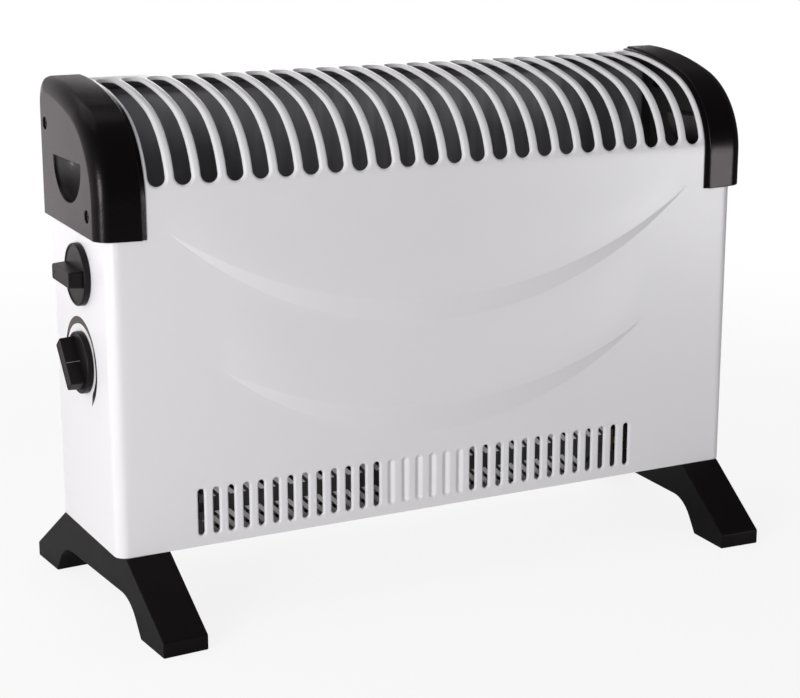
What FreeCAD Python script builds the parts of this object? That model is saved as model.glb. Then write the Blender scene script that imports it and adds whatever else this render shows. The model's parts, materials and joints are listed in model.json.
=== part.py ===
import FreeCAD, Part
import math
import os

V = FreeCAD.Vector

# Case: driving sizes in millimetres, floor at z = 0, front towards -Y, knobs on the -X side
BODY_W = 512.0
BODY_D = 115.0
BODY_H = 319.0
FLOOR_GAP = 52.0
SHEET = 1.0
CORNER_R = 8.5
KNEE_R = 62.0
KNEE_TURN = 71.0
LIP_W = 10.0
SHEET_GAP = 0.3

# Slots of the curved top
TOP_SLOT_PITCH = 19.0
TOP_SLOT_W = 12.6
TOP_SLOT_RISE = 8.9
TOP_SLOT_BACK = 11.0

# Air slots low on the front, with blind pressed ribs between two groups of open slots
LOW_SLOTS = 32
LOW_OPEN = 13
LOW_PITCH = 11.5
LOW_SLOT_W = 5.0
LOW_SLOT_H = 34.0
LOW_SLOT_Z = 7.7
LOW_SLOT_SHIFT = -15.3
RIB_DEEP = 0.5

# Pressed crescents on the front: tips below the knee, tips in from the sides, drops of both edges
RELIEF = 0.8
CRESCENTS = [(23.1, 44.0, 82.0, 67.0), (124.1, 82.0, 63.0, 46.0)]

# End caps, with screw places from the rear, the top, the front and the cap's lower edge
CAP_GAP = 0.3
CAP_WALL = 2.7
CAP_OUT = 8.0
CAP_SPAN = 32.5
CAP_DROP = 24.83
CAP_EDGE_R = 9.0
CAP_LIP_W = 3.5
CAP_LIP_T = 1.0
CAP_SCREW_REAR = 16.5
CAP_SCREW_DOWN = 28.0
CAP_SCREW_FRONT = 15.5
CAP_SCREW_UP = 14.7
CAP_SCREW_BITE = 8.0
BOSS_WALL = 1.4
HEAD_GAP = 0.6
HEAD_SUNK = 1.2

# Hand recess in each end cap
POCKET_Y = -4.0
POCKET_DOWN = 48.0
POCKET_R = 29.0
POCKET_DEEP = 22.0
POCKET_IN = 6.0
POCKET_WALL = 2.2
POCKET_GAP = 0.6

# Feet
FOOT_INSET = 18.7
FOOT_W = 33.3
FOOT_OVER = 1.0
FOOT_REACH = 59.5
TOE_H = 11.0
TOE_D = 39.0
ARCH_H = 24.3
ARCH_SLOPE = 55.0
ARCH_R = 28.0
FOOT_SPLAY = 3.0
FOOT_WALL = 3.0
FOOT_BOSS_WALL = 2.4
FOOT_SCREW_IN = 27.5
FOOT_SEAT_T = 5.0
FOOT_SCREW_OUT = 6.0

# Screws: shank and head radii, head height
M4_R = 2.0
M4_HEAD_R = 3.6
M4_HEAD_H = 2.4
M4_NUT_WALL = 1.5
M4_NUT_H = 3.0
M3_R = 1.45
M3_HEAD_R = 2.8
M3_HEAD_H = 1.6
FIT = 0.05
REAR_SCREW_L = 6.0
REAR_SCREW_LOW = 28.7
REAR_SCREW_HIGH = 22.3
REAR_SCREW_X = 85.0
REAR_SCREW_IN = 0.5
SWITCH_SCREW_L = 9.0

# Knobs
KNOB_R = 22.0
KNOB_WALL = 2.2
KNOB_FACE = 1.2
KNOB_ROOM = 1.2
KNOB_GAP = 0.4
KNOB_EDGE_R = 1.2
GRIP_H = 10.0
GRIP_L = 36.5
GRIP_W = 11.0
GRIP_EDGE_R = 1.5
GRIP_FACE = 2.0
SHAFT_R = 3.0
SELECTOR_Y = -0.5
SELECTOR_DOWN = 32.3
SELECTOR_TURN = 1.5
THERMOSTAT_Y = 0.5
THERMOSTAT_DOWN = 63.0
THERMOSTAT_TURN = 51.0

# Controls inside the case
SWITCH_SIDE = 34.0
SWITCH_DEEP = 24.0
SWITCH_BACKING = 9.0
SWITCH_EDGE = 5.0
SWITCH_BEVEL = 2.0
TAB_T = 0.8
TAB_W = 6.0
TAB_L = 8.0
SWITCH_TABS = [(10.0, 7.0), (-9.0, 7.0), (-9.0, -7.0)]
BUSH_WALL = 2.0
BUSH_OUT = 1.8
NUT_H = 2.0
NUT_WALL = 2.0
PIN_R = 1.5
PIN_GAP = 0.6
FRAME_T = 1.5
FRAME_W = 24.0
FRAME_UP = 20.0
BRIDGE_W = 12.0
BRIDGE_IN = 9.0
BRIDGE_LOW = 10.0
SPINDLE_IN = 5.0
BIMETAL_IN = 14.4
CONTACT_IN = 19.0
STACK_IN = 22.0
STACK_LOW = 26.0
STACK_H = 12.0
BLADE_T = 0.6
BLADE_W = 8.0
BLADE_LOW = 34.0
BLADE_UP = 12.0
CONTACT_R = 2.0
CONTACT_DOWN = 3.0
CONTACT_GAP = 0.3

# Heating element
END_ROOM = 9.0
CARRIER_IN = 19.5
CARRIER_T = 2.0
CARRIER_H = 18.0
RIBBON_W = 1.8
RIBBON_T = 0.6
RIBBON_LEG = 9.2
RIBBON_FLAT = 2.4
RIBBON_START = 15.0
RIBBON_REACH = 11.5
RIBBON_OVER = 2.5
RIBBON_CLEAR = 0.1
CERAMIC_L = 10.0
CERAMIC_STOP = 2.5
CERAMIC_SIDE = 5.0
CERAMIC_RIM = 4.5
BRACKET_T = 1.5
BRACKET_HALF = 10.0
BRACKET_FOOT = 4.5
BRACKET_RIM = 7.5
CLAMP_L = 6.0
CLAMP_T = 4.0
LINK_W = 5.0
LINK_T = 0.8
LINK_L = 18.0

# Inner sheets
WIRE_ROOM = 11.0
PARTITION_DOWN = 5.6
PARTITION_FRONT = 0.5
FLANGE_W = 8.0
FLANGE_FRONT = 6.5
SHIELD_IN = 10.0
SHIELD_T = 0.8
SHIELD_LOW = 58.0
SHIELD_DOWN = 12.5
SHIELD_UP = 4.5
SHIELD_LEFT = 12.0
SHIELD_RIGHT = 16.0
SPACER_R = 4.0
SPACER_IN = 66.0
SPACER_LOW = 100.0
SPACER_DOWN = 69.0

# Air slots of the rear panel and the bottom plate
REAR_PITCH = 14.0
REAR_SLOT_H = 30.0
REAR_ROW = 36.0
REAR_SLOT_Z = 12.0
REAR_FIRST = 30.0
REAR_LAST = 45.0
VENT_PITCH = 19.0
VENT_W = 10.0
VENT_FRONT = 42.0
VENT_L = 15.0
VENT_BAR = 4.0
VENT_BACK_L = 13.0

# Overheat cut-out on the partition, sensing cap in the air duct
CUTOUT_IN = 14.0
CUTOUT_DOWN = 20.0
CUTOUT_R = 8.0
CUTOUT_L = 9.0
CUTOUT_CAP_R = 6.0
CUTOUT_CAP_L = 2.5
CUTOUT_TAB_Y = 4.0
CUTOUT_TAB_L = 7.0

# Terminal block on the partition
BLOCK_T = 16.0
BLOCK_L = 32.0
BLOCK_H = 20.0
BLOCK_UP = 8.0
BLOCK_BACK = 10.2
POLE_PITCH = 10.0
POLE_R = 1.8
POLE_DEEP = 6.0
POLE_SUNK = 1.5

# Inlet for the mains lead in the rear panel, and the earth point
GLAND_IN = 18.0
GLAND_UP = 20.0
GLAND_BORE_R = 4.0
GLAND_WALL = 3.0
GLAND_RIM = 3.0
GLAND_FLANGE_T = 3.0
GLAND_DEEP = 9.0
EARTH_IN = 16.0
EARTH_Y = -6.0
EARTH_R = 4.5
EARTH_TAIL_W = 4.0
EARTH_TAIL = 12.0
EARTH_SCREW_L = 6.0

# Insulated wires
WIRE_R = 1.1
WIRE_BEND = 3.0
NEUTRAL_IN = 18.0

# Sizes of the case that follow from the ones above
HALF_W = BODY_W / 2
HALF_D = BODY_D / 2
BASE_Z = FLOOR_GAP
TOP_Z = BASE_Z + BODY_H
KNEE = math.radians(KNEE_TURN)
TOP_R = (BODY_D - KNEE_R * (1 - math.cos(KNEE))) / math.cos(KNEE)
KNEE_Z = TOP_Z - TOP_R + (TOP_R - KNEE_R) * math.sin(KNEE)
INNER_X = HALF_W - SHEET
INNER_Y = HALF_D - SHEET
FLOOR_Z = BASE_Z + SHEET
DECK_Z = FLOOR_Z + SHEET

# Caps and feet
CAP_T = CAP_GAP + CAP_WALL
CAP_X = HALF_W + CAP_OUT
CAP_IN_X = CAP_X - CAP_SPAN
CAP_BASE = KNEE_Z - CAP_DROP
CAP_SEAT = CAP_X - M4_HEAD_H - HEAD_SUNK
CAP_SCREWS = [(HALF_D - CAP_SCREW_REAR, TOP_Z - CAP_SCREW_DOWN),
              (CAP_SCREW_FRONT - HALF_D, CAP_BASE + CAP_SCREW_UP)]
BOSS_R = M4_HEAD_R + BOSS_WALL
POCKET_TOP = TOP_Z - POCKET_DOWN
TOP_SLOT_LOW = KNEE_Z + TOP_SLOT_RISE
TOP_SLOTS = int((2 * (CAP_IN_X - CAP_LIP_W) + 1) / TOP_SLOT_PITCH)
FOOT_X = HALF_W - FOOT_INSET
FOOT_TOP_L = BODY_D + 2 * FOOT_OVER
FOOT_L = FOOT_TOP_L + 2 * FOOT_REACH
FOOT_BOSS_R = M4_HEAD_R + FOOT_BOSS_WALL
FOOT_SCREW_Y = HALF_D - FOOT_SCREW_IN
FOOT_SEAT = ARCH_H + FOOT_SEAT_T

# Knobs and controls
KNOB_HOLLOW = max(NUT_H, M3_HEAD_H) + KNOB_ROOM
KNOB_HOLLOW_R = KNOB_R - KNOB_WALL
KNOB_DISC = KNOB_HOLLOW + KNOB_FACE
KNOB_OUT = KNOB_DISC + GRIP_H
SHAFT_END = -HALF_W - KNOB_GAP - KNOB_OUT + GRIP_FACE + SHEET_GAP
SELECTOR = (SELECTOR_Y, CAP_BASE - SELECTOR_DOWN)
THERMOSTAT = (THERMOSTAT_Y, SELECTOR[1] - THERMOSTAT_DOWN)
SWITCH_BORE = SWITCH_DEEP - SWITCH_BACKING
SWITCH_SCREW = SWITCH_SIDE / 2 - SWITCH_EDGE
SWITCH_BACK = -INNER_X + SWITCH_DEEP
BUSH_R = SHAFT_R + BUSH_WALL
T_Y, T_Z = THERMOSTAT
T_PLATE = -INNER_X + FRAME_T
T_BRIDGE = -INNER_X + BRIDGE_IN
T_BIMETAL = -INNER_X + BIMETAL_IN
T_CONTACT = -INNER_X + CONTACT_IN
T_END = -INNER_X + STACK_IN
STACK_Z0 = T_Z - STACK_LOW
STACK_Z1 = STACK_Z0 + STACK_H
BLADE_Z0 = T_Z - BLADE_LOW
BLADE_Z1 = T_Z + BLADE_UP
SPINDLE_END = -INNER_X + SPINDLE_IN

# Inner sheets and the element between them
PARTITION_X = SWITCH_BACK + TAB_L + WIRE_ROOM
P_LEFT = PARTITION_X - SHEET
SHIELD_Y = INNER_Y - SHIELD_IN
P_BACK = SHIELD_Y - SHEET_GAP
E_HALF = -PARTITION_X - END_ROOM
E_STOP = E_HALF + CERAMIC_STOP
CERAMIC_X = E_STOP - CERAMIC_L
CARRIER_Y = CARRIER_IN - HALF_D
E_FRONT = CARRIER_Y - CARRIER_T / 2
E_Z = DECK_Z + RIBBON_CLEAR + RIBBON_W / 2 + RIBBON_REACH + CARRIER_H / 2
RIBBON_FRONT = E_FRONT - RIBBON_T
RIBBON_X = RIBBON_START - E_HALF
RIBBON_STEP = RIBBON_LEG + RIBBON_FLAT
RIBBON_ROOM = CERAMIC_X - RIBBON_X - RIBBON_FLAT - LINK_L - 4 * WIRE_BEND - 2 * WIRE_R
RIBBON_LEGS = 2 * int(RIBBON_ROOM / (2 * RIBBON_STEP))
RIBBON_END = RIBBON_X + RIBBON_LEGS * RIBBON_STEP + RIBBON_FLAT
WIRE_OVER = E_Z + CARRIER_H / 2 + RIBBON_REACH + 2.0

# Small fittings of the control side
CUTOUT = (CARRIER_Y + CUTOUT_IN, T_Z - CUTOUT_DOWN)
BLOCK_X = P_LEFT - BLOCK_T
BLOCK_Y = (P_BACK - BLOCK_BACK - BLOCK_L, P_BACK - BLOCK_BACK)
BLOCK_Z = (BASE_Z + BLOCK_UP, BASE_Z + BLOCK_UP + BLOCK_H)
POLE_Z = (BLOCK_Z[0] + BLOCK_Z[1]) / 2
POLES = [(BLOCK_Y[0] + BLOCK_Y[1]) / 2 + k * POLE_PITCH for k in (-1, 0, 1)]
GLAND_X = GLAND_IN - HALF_W
GLAND_Z = BASE_Z + GLAND_UP
GLAND_R = GLAND_BORE_R + GLAND_WALL
EARTH = (EARTH_IN - HALF_W, EARTH_Y)
DUCT_X = P_LEFT - WIRE_ROOM / 2
POLE_X = P_LEFT - BLOCK_T / 2


def box(x0, x1, y0, y1, z0, z1):
    return Part.makeBox(x1 - x0, y1 - y0, z1 - z0, V(x0, y0, z0))


def rod(r, start, end):
    return Part.makeCylinder(r, (end - start).Length, start, end - start)


def rod_x(r, x0, x1, y, z):
    return rod(r, V(x0, y, z), V(x1, y, z))


def mirrored(shape):
    return shape.mirror(V(0, 0, 0), V(1, 0, 0))


def save(name, shape):
    if not isinstance(shape, list):
        shape = [shape]
    solids = [s for item in shape for s in item.Solids]
    out = solids[0] if len(solids) == 1 else Part.makeCompound(solids)
    out.exportStep("parts/" + name + ".step")


def arc_yz(centre, r, a0, a1):
    """Arc in the YZ plane, angles in degrees from +Y towards +Z."""
    pts = [V(0, centre.y + r * math.cos(math.radians(a)), centre.z + r * math.sin(math.radians(a)))
           for a in (a0, (a0 + a1) / 2, a1)]
    return Part.Arc(*pts).toShape(), pts[0], pts[2]


def section(grow, z_low, y_back):
    """Side section of the case: upright front, round knee, flatter arc to the rear top edge."""
    knee_arc, k0, k1 = arc_yz(V(0, KNEE_R - HALF_D, KNEE_Z), KNEE_R + grow, 180, 180 - KNEE_TURN)
    top_arc, t0, t1 = arc_yz(V(0, HALF_D, TOP_Z - TOP_R), TOP_R + grow, 180 - KNEE_TURN, 90)
    corners = [V(0, y_back, t1.z), V(0, y_back, z_low), V(0, k0.y, z_low)]
    edges = [Part.makeLine(corners[2], k0), knee_arc, top_arc]
    if y_back - t1.y > 0.01:
        edges.append(Part.makeLine(t1, corners[0]))
    edges += [Part.makeLine(corners[0], corners[1]), Part.makeLine(corners[1], corners[2])]
    return Part.Wire(edges)


def case_bar(grow, x0, x1, z_low, y_back):
    face = Part.Face(section(grow, z_low, y_back))
    face.translate(V(x0, 0, 0))
    return face.extrude(V(x1 - x0, 0, 0))


def side_edges(solid, x, z_low, y_back):
    """Edges of the face at x, without those along its bottom and its back."""
    return [e for e in solid.Edges if abs(e.CenterOfMass.x - x) < 0.01
            and e.CenterOfMass.y < y_back - 0.01 and e.CenterOfMass.z > z_low + 0.01]


def case_block(grow, z_low, y_back):
    half = HALF_W + grow
    solid = case_bar(grow, -half, half, z_low, y_back)
    edges = side_edges(solid, -half, z_low, y_back) + side_edges(solid, half, z_low, y_back)
    return solid.makeFillet(CORNER_R + grow, edges)


def d_wire(x, r, top):
    """Half disc with a level top edge, in the plane at x."""
    a, b, c = V(x, POCKET_Y - r, top), V(x, POCKET_Y, top - r), V(x, POCKET_Y + r, top)
    return Part.Wire([Part.Arc(a, b, c).toShape(), Part.makeLine(c, a)])


def recess(grow):
    """Hand recess on the +X side, narrowing inwards."""
    top = POCKET_TOP + grow
    mouth = d_wire(CAP_X + 1, POCKET_R + grow, top)
    floor = d_wire(CAP_X - POCKET_DEEP - grow, POCKET_R - POCKET_IN + grow, top)
    return Part.makeLoft([mouth, floor], True, True)


def upright_slot(x, z0, height, width, y0, y1):
    r = width / 2
    tool = box(x - r, x + r, y0, y1, z0 + r, z0 + height - r)
    return tool.fuse([rod(r, V(x, y0, z), V(x, y1, z)) for z in (z0 + r, z0 + height - r)])


def top_slot_tools():
    r = TOP_SLOT_W / 2
    low = TOP_SLOT_LOW + r
    back = HALF_D - TOP_SLOT_BACK - r
    band = case_bar(3, -r, r, BASE_Z, HALF_D + 5).cut(case_bar(-3, -r, r, BASE_Z - 5, HALF_D + 9))
    band = band.common(box(-r, r, -HALF_D - 5, back, low, TOP_Z + 5))
    ends = [rod(r, V(0, -HALF_D - 3, low), V(0, -HALF_D + 8, low)),
            rod(r, V(0, back, TOP_Z - 8), V(0, back, TOP_Z + 3))]
    tool = band.fuse(ends)
    first = -(TOP_SLOTS - 1) / 2 * TOP_SLOT_PITCH
    return [tool.translated(V(first + i * TOP_SLOT_PITCH, 0, 0)) for i in range(TOP_SLOTS)]


def low_slot_tools():
    tools = []
    for i in range(LOW_SLOTS):
        x = LOW_SLOT_SHIFT + (i - (LOW_SLOTS - 1) / 2) * LOW_PITCH
        blind = LOW_OPEN <= i < LOW_SLOTS - LOW_OPEN
        deep = -HALF_D + RIB_DEEP if blind else -HALF_D + 4
        tools.append(upright_slot(x, BASE_Z + LOW_SLOT_Z, LOW_SLOT_H, LOW_SLOT_W, -HALF_D - 4, deep))
    return tools


def crescent(below, inset, drop_out, drop_in):
    y, z, half = SHEET / 2 - HALF_D, KNEE_Z - below, HALF_W - inset
    a, b = V(-half, y, z), V(half, y, z)
    low = Part.Arc(a, V(0, y, z - drop_out), b).toShape()
    high = Part.Arc(b, V(0, y, z - drop_in), a).toShape()
    return Part.Face(Part.Wire([low, high])).extrude(V(0, -RELIEF - SHEET / 2, 0))


def selector_screw_spots():
    return [(SELECTOR[0] + s * SWITCH_SCREW, SELECTOR[1]) for s in (-1, 1)]


def front_panel():
    outer = case_block(0, BASE_Z, HALF_D)
    shell = outer.cut(case_block(-SHEET, BASE_Z - 20, HALF_D + 20))
    inset = HALF_W - LIP_W
    floor_lip = outer.common(box(-HALF_W, HALF_W, -HALF_D, HALF_D, BASE_Z, FLOOR_Z))
    floor_lip = floor_lip.cut(box(-inset, inset, -HALF_D + LIP_W, HALF_D + 1, BASE_Z - 1, FLOOR_Z + 1))
    back_lip = outer.common(box(-HALF_W, HALF_W, INNER_Y - SHEET, INNER_Y, BASE_Z, TOP_Z))
    back_lip = back_lip.cut(box(-inset, inset, 0, HALF_D + 1, BASE_Z - 1, TOP_Z - LIP_W))
    shell = shell.fuse([floor_lip, back_lip] + [crescent(*c) for c in CRESCENTS])
    tools = top_slot_tools() + low_slot_tools()
    for side in (-1, 1):
        for y, z in CAP_SCREWS:
            tools.append(rod_x(M4_R + FIT, side * (HALF_W - 3), side * (HALF_W + 3), y, z))
        grow = POCKET_WALL + POCKET_GAP
        hole = Part.Face(d_wire(0, POCKET_R + grow, POCKET_TOP + grow)).extrude(V(6, 0, 0))
        tools.append(hole.translated(V(side * HALF_W - 3, 0, 0)))
    wall = (-HALF_W - 3, -HALF_W + 3)
    tools.append(rod_x(SHAFT_R + 1, *wall, *SELECTOR))
    tools.append(rod_x(BUSH_R + SHEET_GAP, *wall, *THERMOSTAT))
    tools += [rod_x(M3_R + FIT, *wall, y, z) for y, z in selector_screw_spots()]
    tools += [rod(M3_R + FIT, V(x, INNER_Y - 9, z), V(x, HALF_D + 5, z)) for x, z in rear_screw_spots()]
    return shell.cut(tools).removeSplitter()


def rear_screw_spots():
    edge = LIP_W / 2 + REAR_SCREW_IN
    heights = (BASE_Z + REAR_SCREW_LOW, (BASE_Z + TOP_Z) / 2, TOP_Z - REAR_SCREW_HIGH)
    spots = [(s * (HALF_W - edge), z) for s in (-1, 1) for z in heights]
    return spots + [(s * REAR_SCREW_X, TOP_Z - edge) for s in (-1, 1)]


def rear_panel():
    x, z0, z1 = INNER_X - SHEET_GAP, FLOOR_Z + SHEET_GAP, TOP_Z - SHEET - SHEET_GAP
    back = case_block(-SHEET - SHEET_GAP, z0, HALF_D + 20)
    plate = box(-x, x, INNER_Y, HALF_D, z0, z1).common(back)
    y0, y1 = INNER_Y - 5, HALF_D + 5
    tools = [rod(M3_R + FIT, V(sx, y0, z), V(sx, y1, z)) for sx, z in rear_screw_spots()]
    first = PARTITION_X + REAR_FIRST
    count = int((HALF_W - REAR_LAST - first) / REAR_PITCH) + 1
    for row in range(2):
        z = BASE_Z + REAR_SLOT_Z + REAR_ROW * row
        tools += [upright_slot(first + REAR_PITCH * i, z, REAR_SLOT_H, LOW_SLOT_W, y0, y1)
                  for i in range(count)]
    tools.append(rod(GLAND_R + SHEET_GAP, V(GLAND_X, y0, GLAND_Z), V(GLAND_X, y1, GLAND_Z)))
    return plate.cut(tools)


def screw(r, head_r, head_h, length, at, out):
    """Pan-head screw: head outside the point at, shank into the work, cross recess."""
    body = rod(r, V(0, 0, -length), V(0, 0, 0)).fuse(rod(head_r, V(0, 0, 0), V(0, 0, head_h)))
    arm, wide, deep = head_r * 0.6, 0.5, head_h * 0.5
    body = body.cut([box(-arm, arm, -wide, wide, head_h - deep, head_h + 1),
                     box(-wide, wide, -arm, arm, head_h - deep, head_h + 1)])
    body.Placement = FreeCAD.Placement(at, FreeCAD.Rotation(V(0, 0, 1), out))
    return body


def foot_points():
    """Screw centres under the case, per side."""
    turn = math.radians(FOOT_SPLAY)
    out = []
    for side in (-1, 1):
        for s in (-1, 1):
            y = s * FOOT_SCREW_Y
            out.append(V(side * (FOOT_X + y * math.sin(turn)), y * math.cos(turn), 0))
    return out


def bottom_plate():
    plate = case_block(-SHEET - SHEET_GAP, FLOOR_Z, HALF_D + 20)
    plate = plate.common(box(-HALF_W, HALF_W, -HALF_D, INNER_Y - SHEET - SHEET_GAP, FLOOR_Z, DECK_Z))
    tools = [rod(M4_R + FIT, p + V(0, 0, FLOOR_Z - 5), p + V(0, 0, DECK_Z + 5)) for p in foot_points()]
    y = CARRIER_Y + VENT_FRONT
    rows = [(y, y + VENT_L), (y + VENT_L + VENT_BAR, y + VENT_L + VENT_BAR + VENT_BACK_L)]
    count = int(2 * (HALF_W - SPACER_IN) / VENT_PITCH + 0.01) + 1
    for i in range(count):
        x = (i - (count - 1) / 2) * VENT_PITCH
        tools += [box(x - VENT_W / 2, x + VENT_W / 2, y0, y1, FLOOR_Z - 1, DECK_Z + 1) for y0, y1 in rows]
    tools.append(rod(M4_R + FIT, V(*EARTH, FLOOR_Z - 5), V(*EARTH, DECK_Z + 5)))
    return plate.cut(tools)


def end_cap():
    """End cap of the +X side."""
    solid = case_bar(CAP_T, CAP_IN_X, CAP_X, CAP_BASE, HALF_D)
    solid = solid.makeFillet(CAP_EDGE_R, side_edges(solid, CAP_X, CAP_BASE, HALF_D))
    over = case_bar(CAP_GAP, CAP_IN_X - 1, HALF_W + CAP_GAP, CAP_BASE - 1, HALF_D + 1)
    hollow = case_bar(-2, HALF_W, CAP_X - CAP_WALL, CAP_BASE + CAP_WALL, HALF_D + 20)
    hollow = hollow.common(box(HALF_W, CAP_X, -HALF_D, HALF_D - CAP_WALL, CAP_BASE, TOP_Z))
    lip = case_bar(CAP_GAP + CAP_LIP_T, CAP_IN_X - CAP_LIP_W, CAP_IN_X + 1, CAP_BASE, HALF_D)
    lip = lip.cut(case_bar(CAP_GAP, CAP_IN_X - CAP_LIP_W - 1, CAP_IN_X + 2, CAP_BASE - 1, HALF_D + 1))
    bosses = [rod_x(BOSS_R, HALF_W, CAP_X - CAP_WALL + 0.5, y, z) for y, z in CAP_SCREWS]
    cap = solid.cut([over, hollow]).fuse([lip, recess(POCKET_WALL).cut(box(
        CAP_X - 1, CAP_X + 5, -HALF_D, HALF_D, BASE_Z, TOP_Z))] + bosses)
    tools = [recess(0)]
    for y, z in CAP_SCREWS:
        tools.append(rod_x(M4_R + FIT, HALF_W - 1, CAP_X + 1, y, z))
        tools.append(rod_x(M4_HEAD_R + HEAD_GAP, CAP_SEAT, CAP_X + 1, y, z))
    return cap.cut(tools).removeSplitter()


def cap_screws():
    length = CAP_SEAT - HALF_W + CAP_SCREW_BITE
    one_side = [screw(M4_R, M4_HEAD_R, M4_HEAD_H, length, V(CAP_SEAT, y, z), V(1, 0, 0))
                for y, z in CAP_SCREWS]
    return one_side + [mirrored(s) for s in one_side]


def inset_outline(points, d):
    """Closed outline moved inwards by d, mitred; points run clockwise seen from +X."""
    out = []
    for i in range(len(points)):
        a, b, c = points[i - 1], points[i], points[(i + 1) % len(points)]
        u, w = (b - a).normalize(), (c - b).normalize()
        n0, n1 = V(0, u.z, -u.y), V(0, w.z, -w.y)
        mitre = n0 + n1
        out.append(b + mitre * (d / (1 + n0.dot(n1))))
    return out


def arch_tool(grow):
    run = ARCH_H / math.tan(math.radians(ARCH_SLOPE))
    heel = FOOT_L / 2 - TOE_D
    pts = [V(0, -heel, 0), V(0, -heel + run, ARCH_H), V(0, heel - run, ARCH_H), V(0, heel, 0)]
    pts = inset_outline(pts, -grow)
    low = [V(0, p.y + math.copysign(10, p.y), -8) for p in (pts[3], pts[0])]
    half = FOOT_W / 2 + 5
    solid = Part.Face(Part.makePolygon(pts + low + [pts[0]])).extrude(V(2 * half, 0, 0))
    solid.translate(V(-half, 0, 0))
    edges = [e for e in solid.Edges if abs(e.CenterOfMass.x) < 0.01 and e.CenterOfMass.z > ARCH_H - 1]
    return solid.makeFillet(ARCH_R + grow, edges)


def foot(side):
    half_l, half_t, half_w = FOOT_L / 2, FOOT_TOP_L / 2, FOOT_W / 2
    slope = (half_l - half_t) / (BASE_Z - TOE_H)
    above = half_t - 10 * slope

    def prism(pts, half):
        solid = Part.Face(Part.makePolygon(pts + [pts[0]])).extrude(V(2 * half, 0, 0))
        return solid.translated(V(-half, 0, 0))

    toes = [V(0, half_l, TOE_H), V(0, half_l, 0), V(0, -half_l, 0), V(0, -half_l, TOE_H)]
    solid = prism([V(0, -half_t, BASE_Z), V(0, half_t, BASE_Z)] + toes, half_w).cut(arch_tool(0))
    tall = [V(0, -above, BASE_Z + 10), V(0, above, BASE_Z + 10)] + toes
    hollow = prism(inset_outline(tall, FOOT_WALL), half_w - FOOT_WALL).cut(arch_tool(FOOT_WALL))
    solid = solid.cut(hollow)
    for s in (-1, 1):
        y = s * FOOT_SCREW_Y
        solid = solid.fuse(rod(FOOT_BOSS_R, V(0, y, ARCH_H + 1), V(0, y, FLOOR_Z)))
    for s in (-1, 1):
        y = s * FOOT_SCREW_Y
        solid = solid.cut([rod(M4_R + FIT, V(0, y, 0), V(0, y, FLOOR_Z + 5)),
                           rod(M4_HEAD_R + HEAD_GAP, V(0, y, 0), V(0, y, FOOT_SEAT))])
    solid = solid.removeSplitter()
    solid.rotate(V(0, 0, 0), V(0, 0, 1), -side * FOOT_SPLAY)
    return solid.translated(V(side * FOOT_X, 0, 0))


def foot_screws():
    length = DECK_Z + FOOT_SCREW_OUT - FOOT_SEAT
    return [screw(M4_R, M4_HEAD_R, M4_HEAD_H, length, p + V(0, 0, FOOT_SEAT), V(0, 0, -1))
            for p in foot_points()]


def hex_nut(flats, height, bore_r, at, along):
    r = flats / 2 / math.cos(math.pi / 6)
    pts = [V(r * math.cos(k * math.pi / 3), r * math.sin(k * math.pi / 3), 0) for k in range(7)]
    nut = Part.Face(Part.makePolygon(pts)).extrude(V(0, 0, height))
    nut = nut.cut(rod(bore_r, V(0, 0, -1), V(0, 0, height + 1)))
    nut.Placement = FreeCAD.Placement(at, FreeCAD.Rotation(V(0, 0, 1), along))
    return nut


def foot_nuts():
    flats = 2 * (M4_R + M4_NUT_WALL)
    return [hex_nut(flats, M4_NUT_H, M4_R + FIT, p + V(0, 0, DECK_Z), V(0, 0, 1)) for p in foot_points()]


def rear_screws():
    return [screw(M3_R, M3_HEAD_R, M3_HEAD_H, REAR_SCREW_L, V(x, HALF_D, z), V(0, 1, 0))
            for x, z in rear_screw_spots()]


def knob(spot, turn):
    disc = Part.makeCylinder(KNOB_R, KNOB_DISC)
    rim = [e for e in disc.Edges if e.CenterOfMass.z > KNOB_DISC - 0.01 and len(e.Vertexes) == 1]
    disc = disc.makeFillet(KNOB_EDGE_R, rim)
    half = (GRIP_L - GRIP_W) / 2
    grip = box(-GRIP_W / 2, GRIP_W / 2, -half, half, KNOB_DISC - 1, KNOB_OUT)
    ends = [rod(GRIP_W / 2, V(0, s * half, KNOB_DISC - 1), V(0, s * half, KNOB_OUT)) for s in (-1, 1)]
    grip = grip.fuse(ends).removeSplitter()
    grip = grip.makeFillet(GRIP_EDGE_R, [e for e in grip.Edges if e.CenterOfMass.z > KNOB_OUT - 0.01])
    body = disc.fuse(grip).cut([Part.makeCylinder(KNOB_HOLLOW_R, KNOB_HOLLOW),
                                Part.makeCylinder(SHAFT_R + FIT, KNOB_OUT - GRIP_FACE)]).removeSplitter()
    body.rotate(V(0, 0, 0), V(0, 0, 1), -turn)
    body.rotate(V(0, 0, 0), V(0, 1, 0), -90)
    return body.translated(V(-HALF_W - KNOB_GAP, *spot))


def selector_switch():
    y, z = SELECTOR
    half, face = SWITCH_SIDE / 2, -INNER_X
    body = box(face, face + SWITCH_DEEP, y - half, y + half, z - half, z + half)
    back = [e for e in body.Edges if abs(e.CenterOfMass.x - SWITCH_BACK) < 0.01]
    body = body.makeChamfer(SWITCH_BEVEL, back)
    tools = [rod_x(SHAFT_R + FIT, face - 1, face + SWITCH_BORE, y, z)]
    deep = face + SWITCH_SCREW_L - SHEET + 0.5
    tools += [rod_x(M3_R + FIT, face - 1, deep, sy, sz) for sy, sz in selector_screw_spots()]
    return body.cut(tools)


def selector_shaft():
    return rod_x(SHAFT_R, SHAFT_END, -INNER_X + SWITCH_BORE - SHEET_GAP, *SELECTOR)


def selector_screws():
    return [screw(M3_R, M3_HEAD_R, M3_HEAD_H, SWITCH_SCREW_L, V(-HALF_W, y, z), V(-1, 0, 0))
            for y, z in selector_screw_spots()]


def tab(x, y, z):
    return box(x, x + TAB_L, y - TAB_T / 2, y + TAB_T / 2, z - TAB_W / 2, z + TAB_W / 2)


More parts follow.
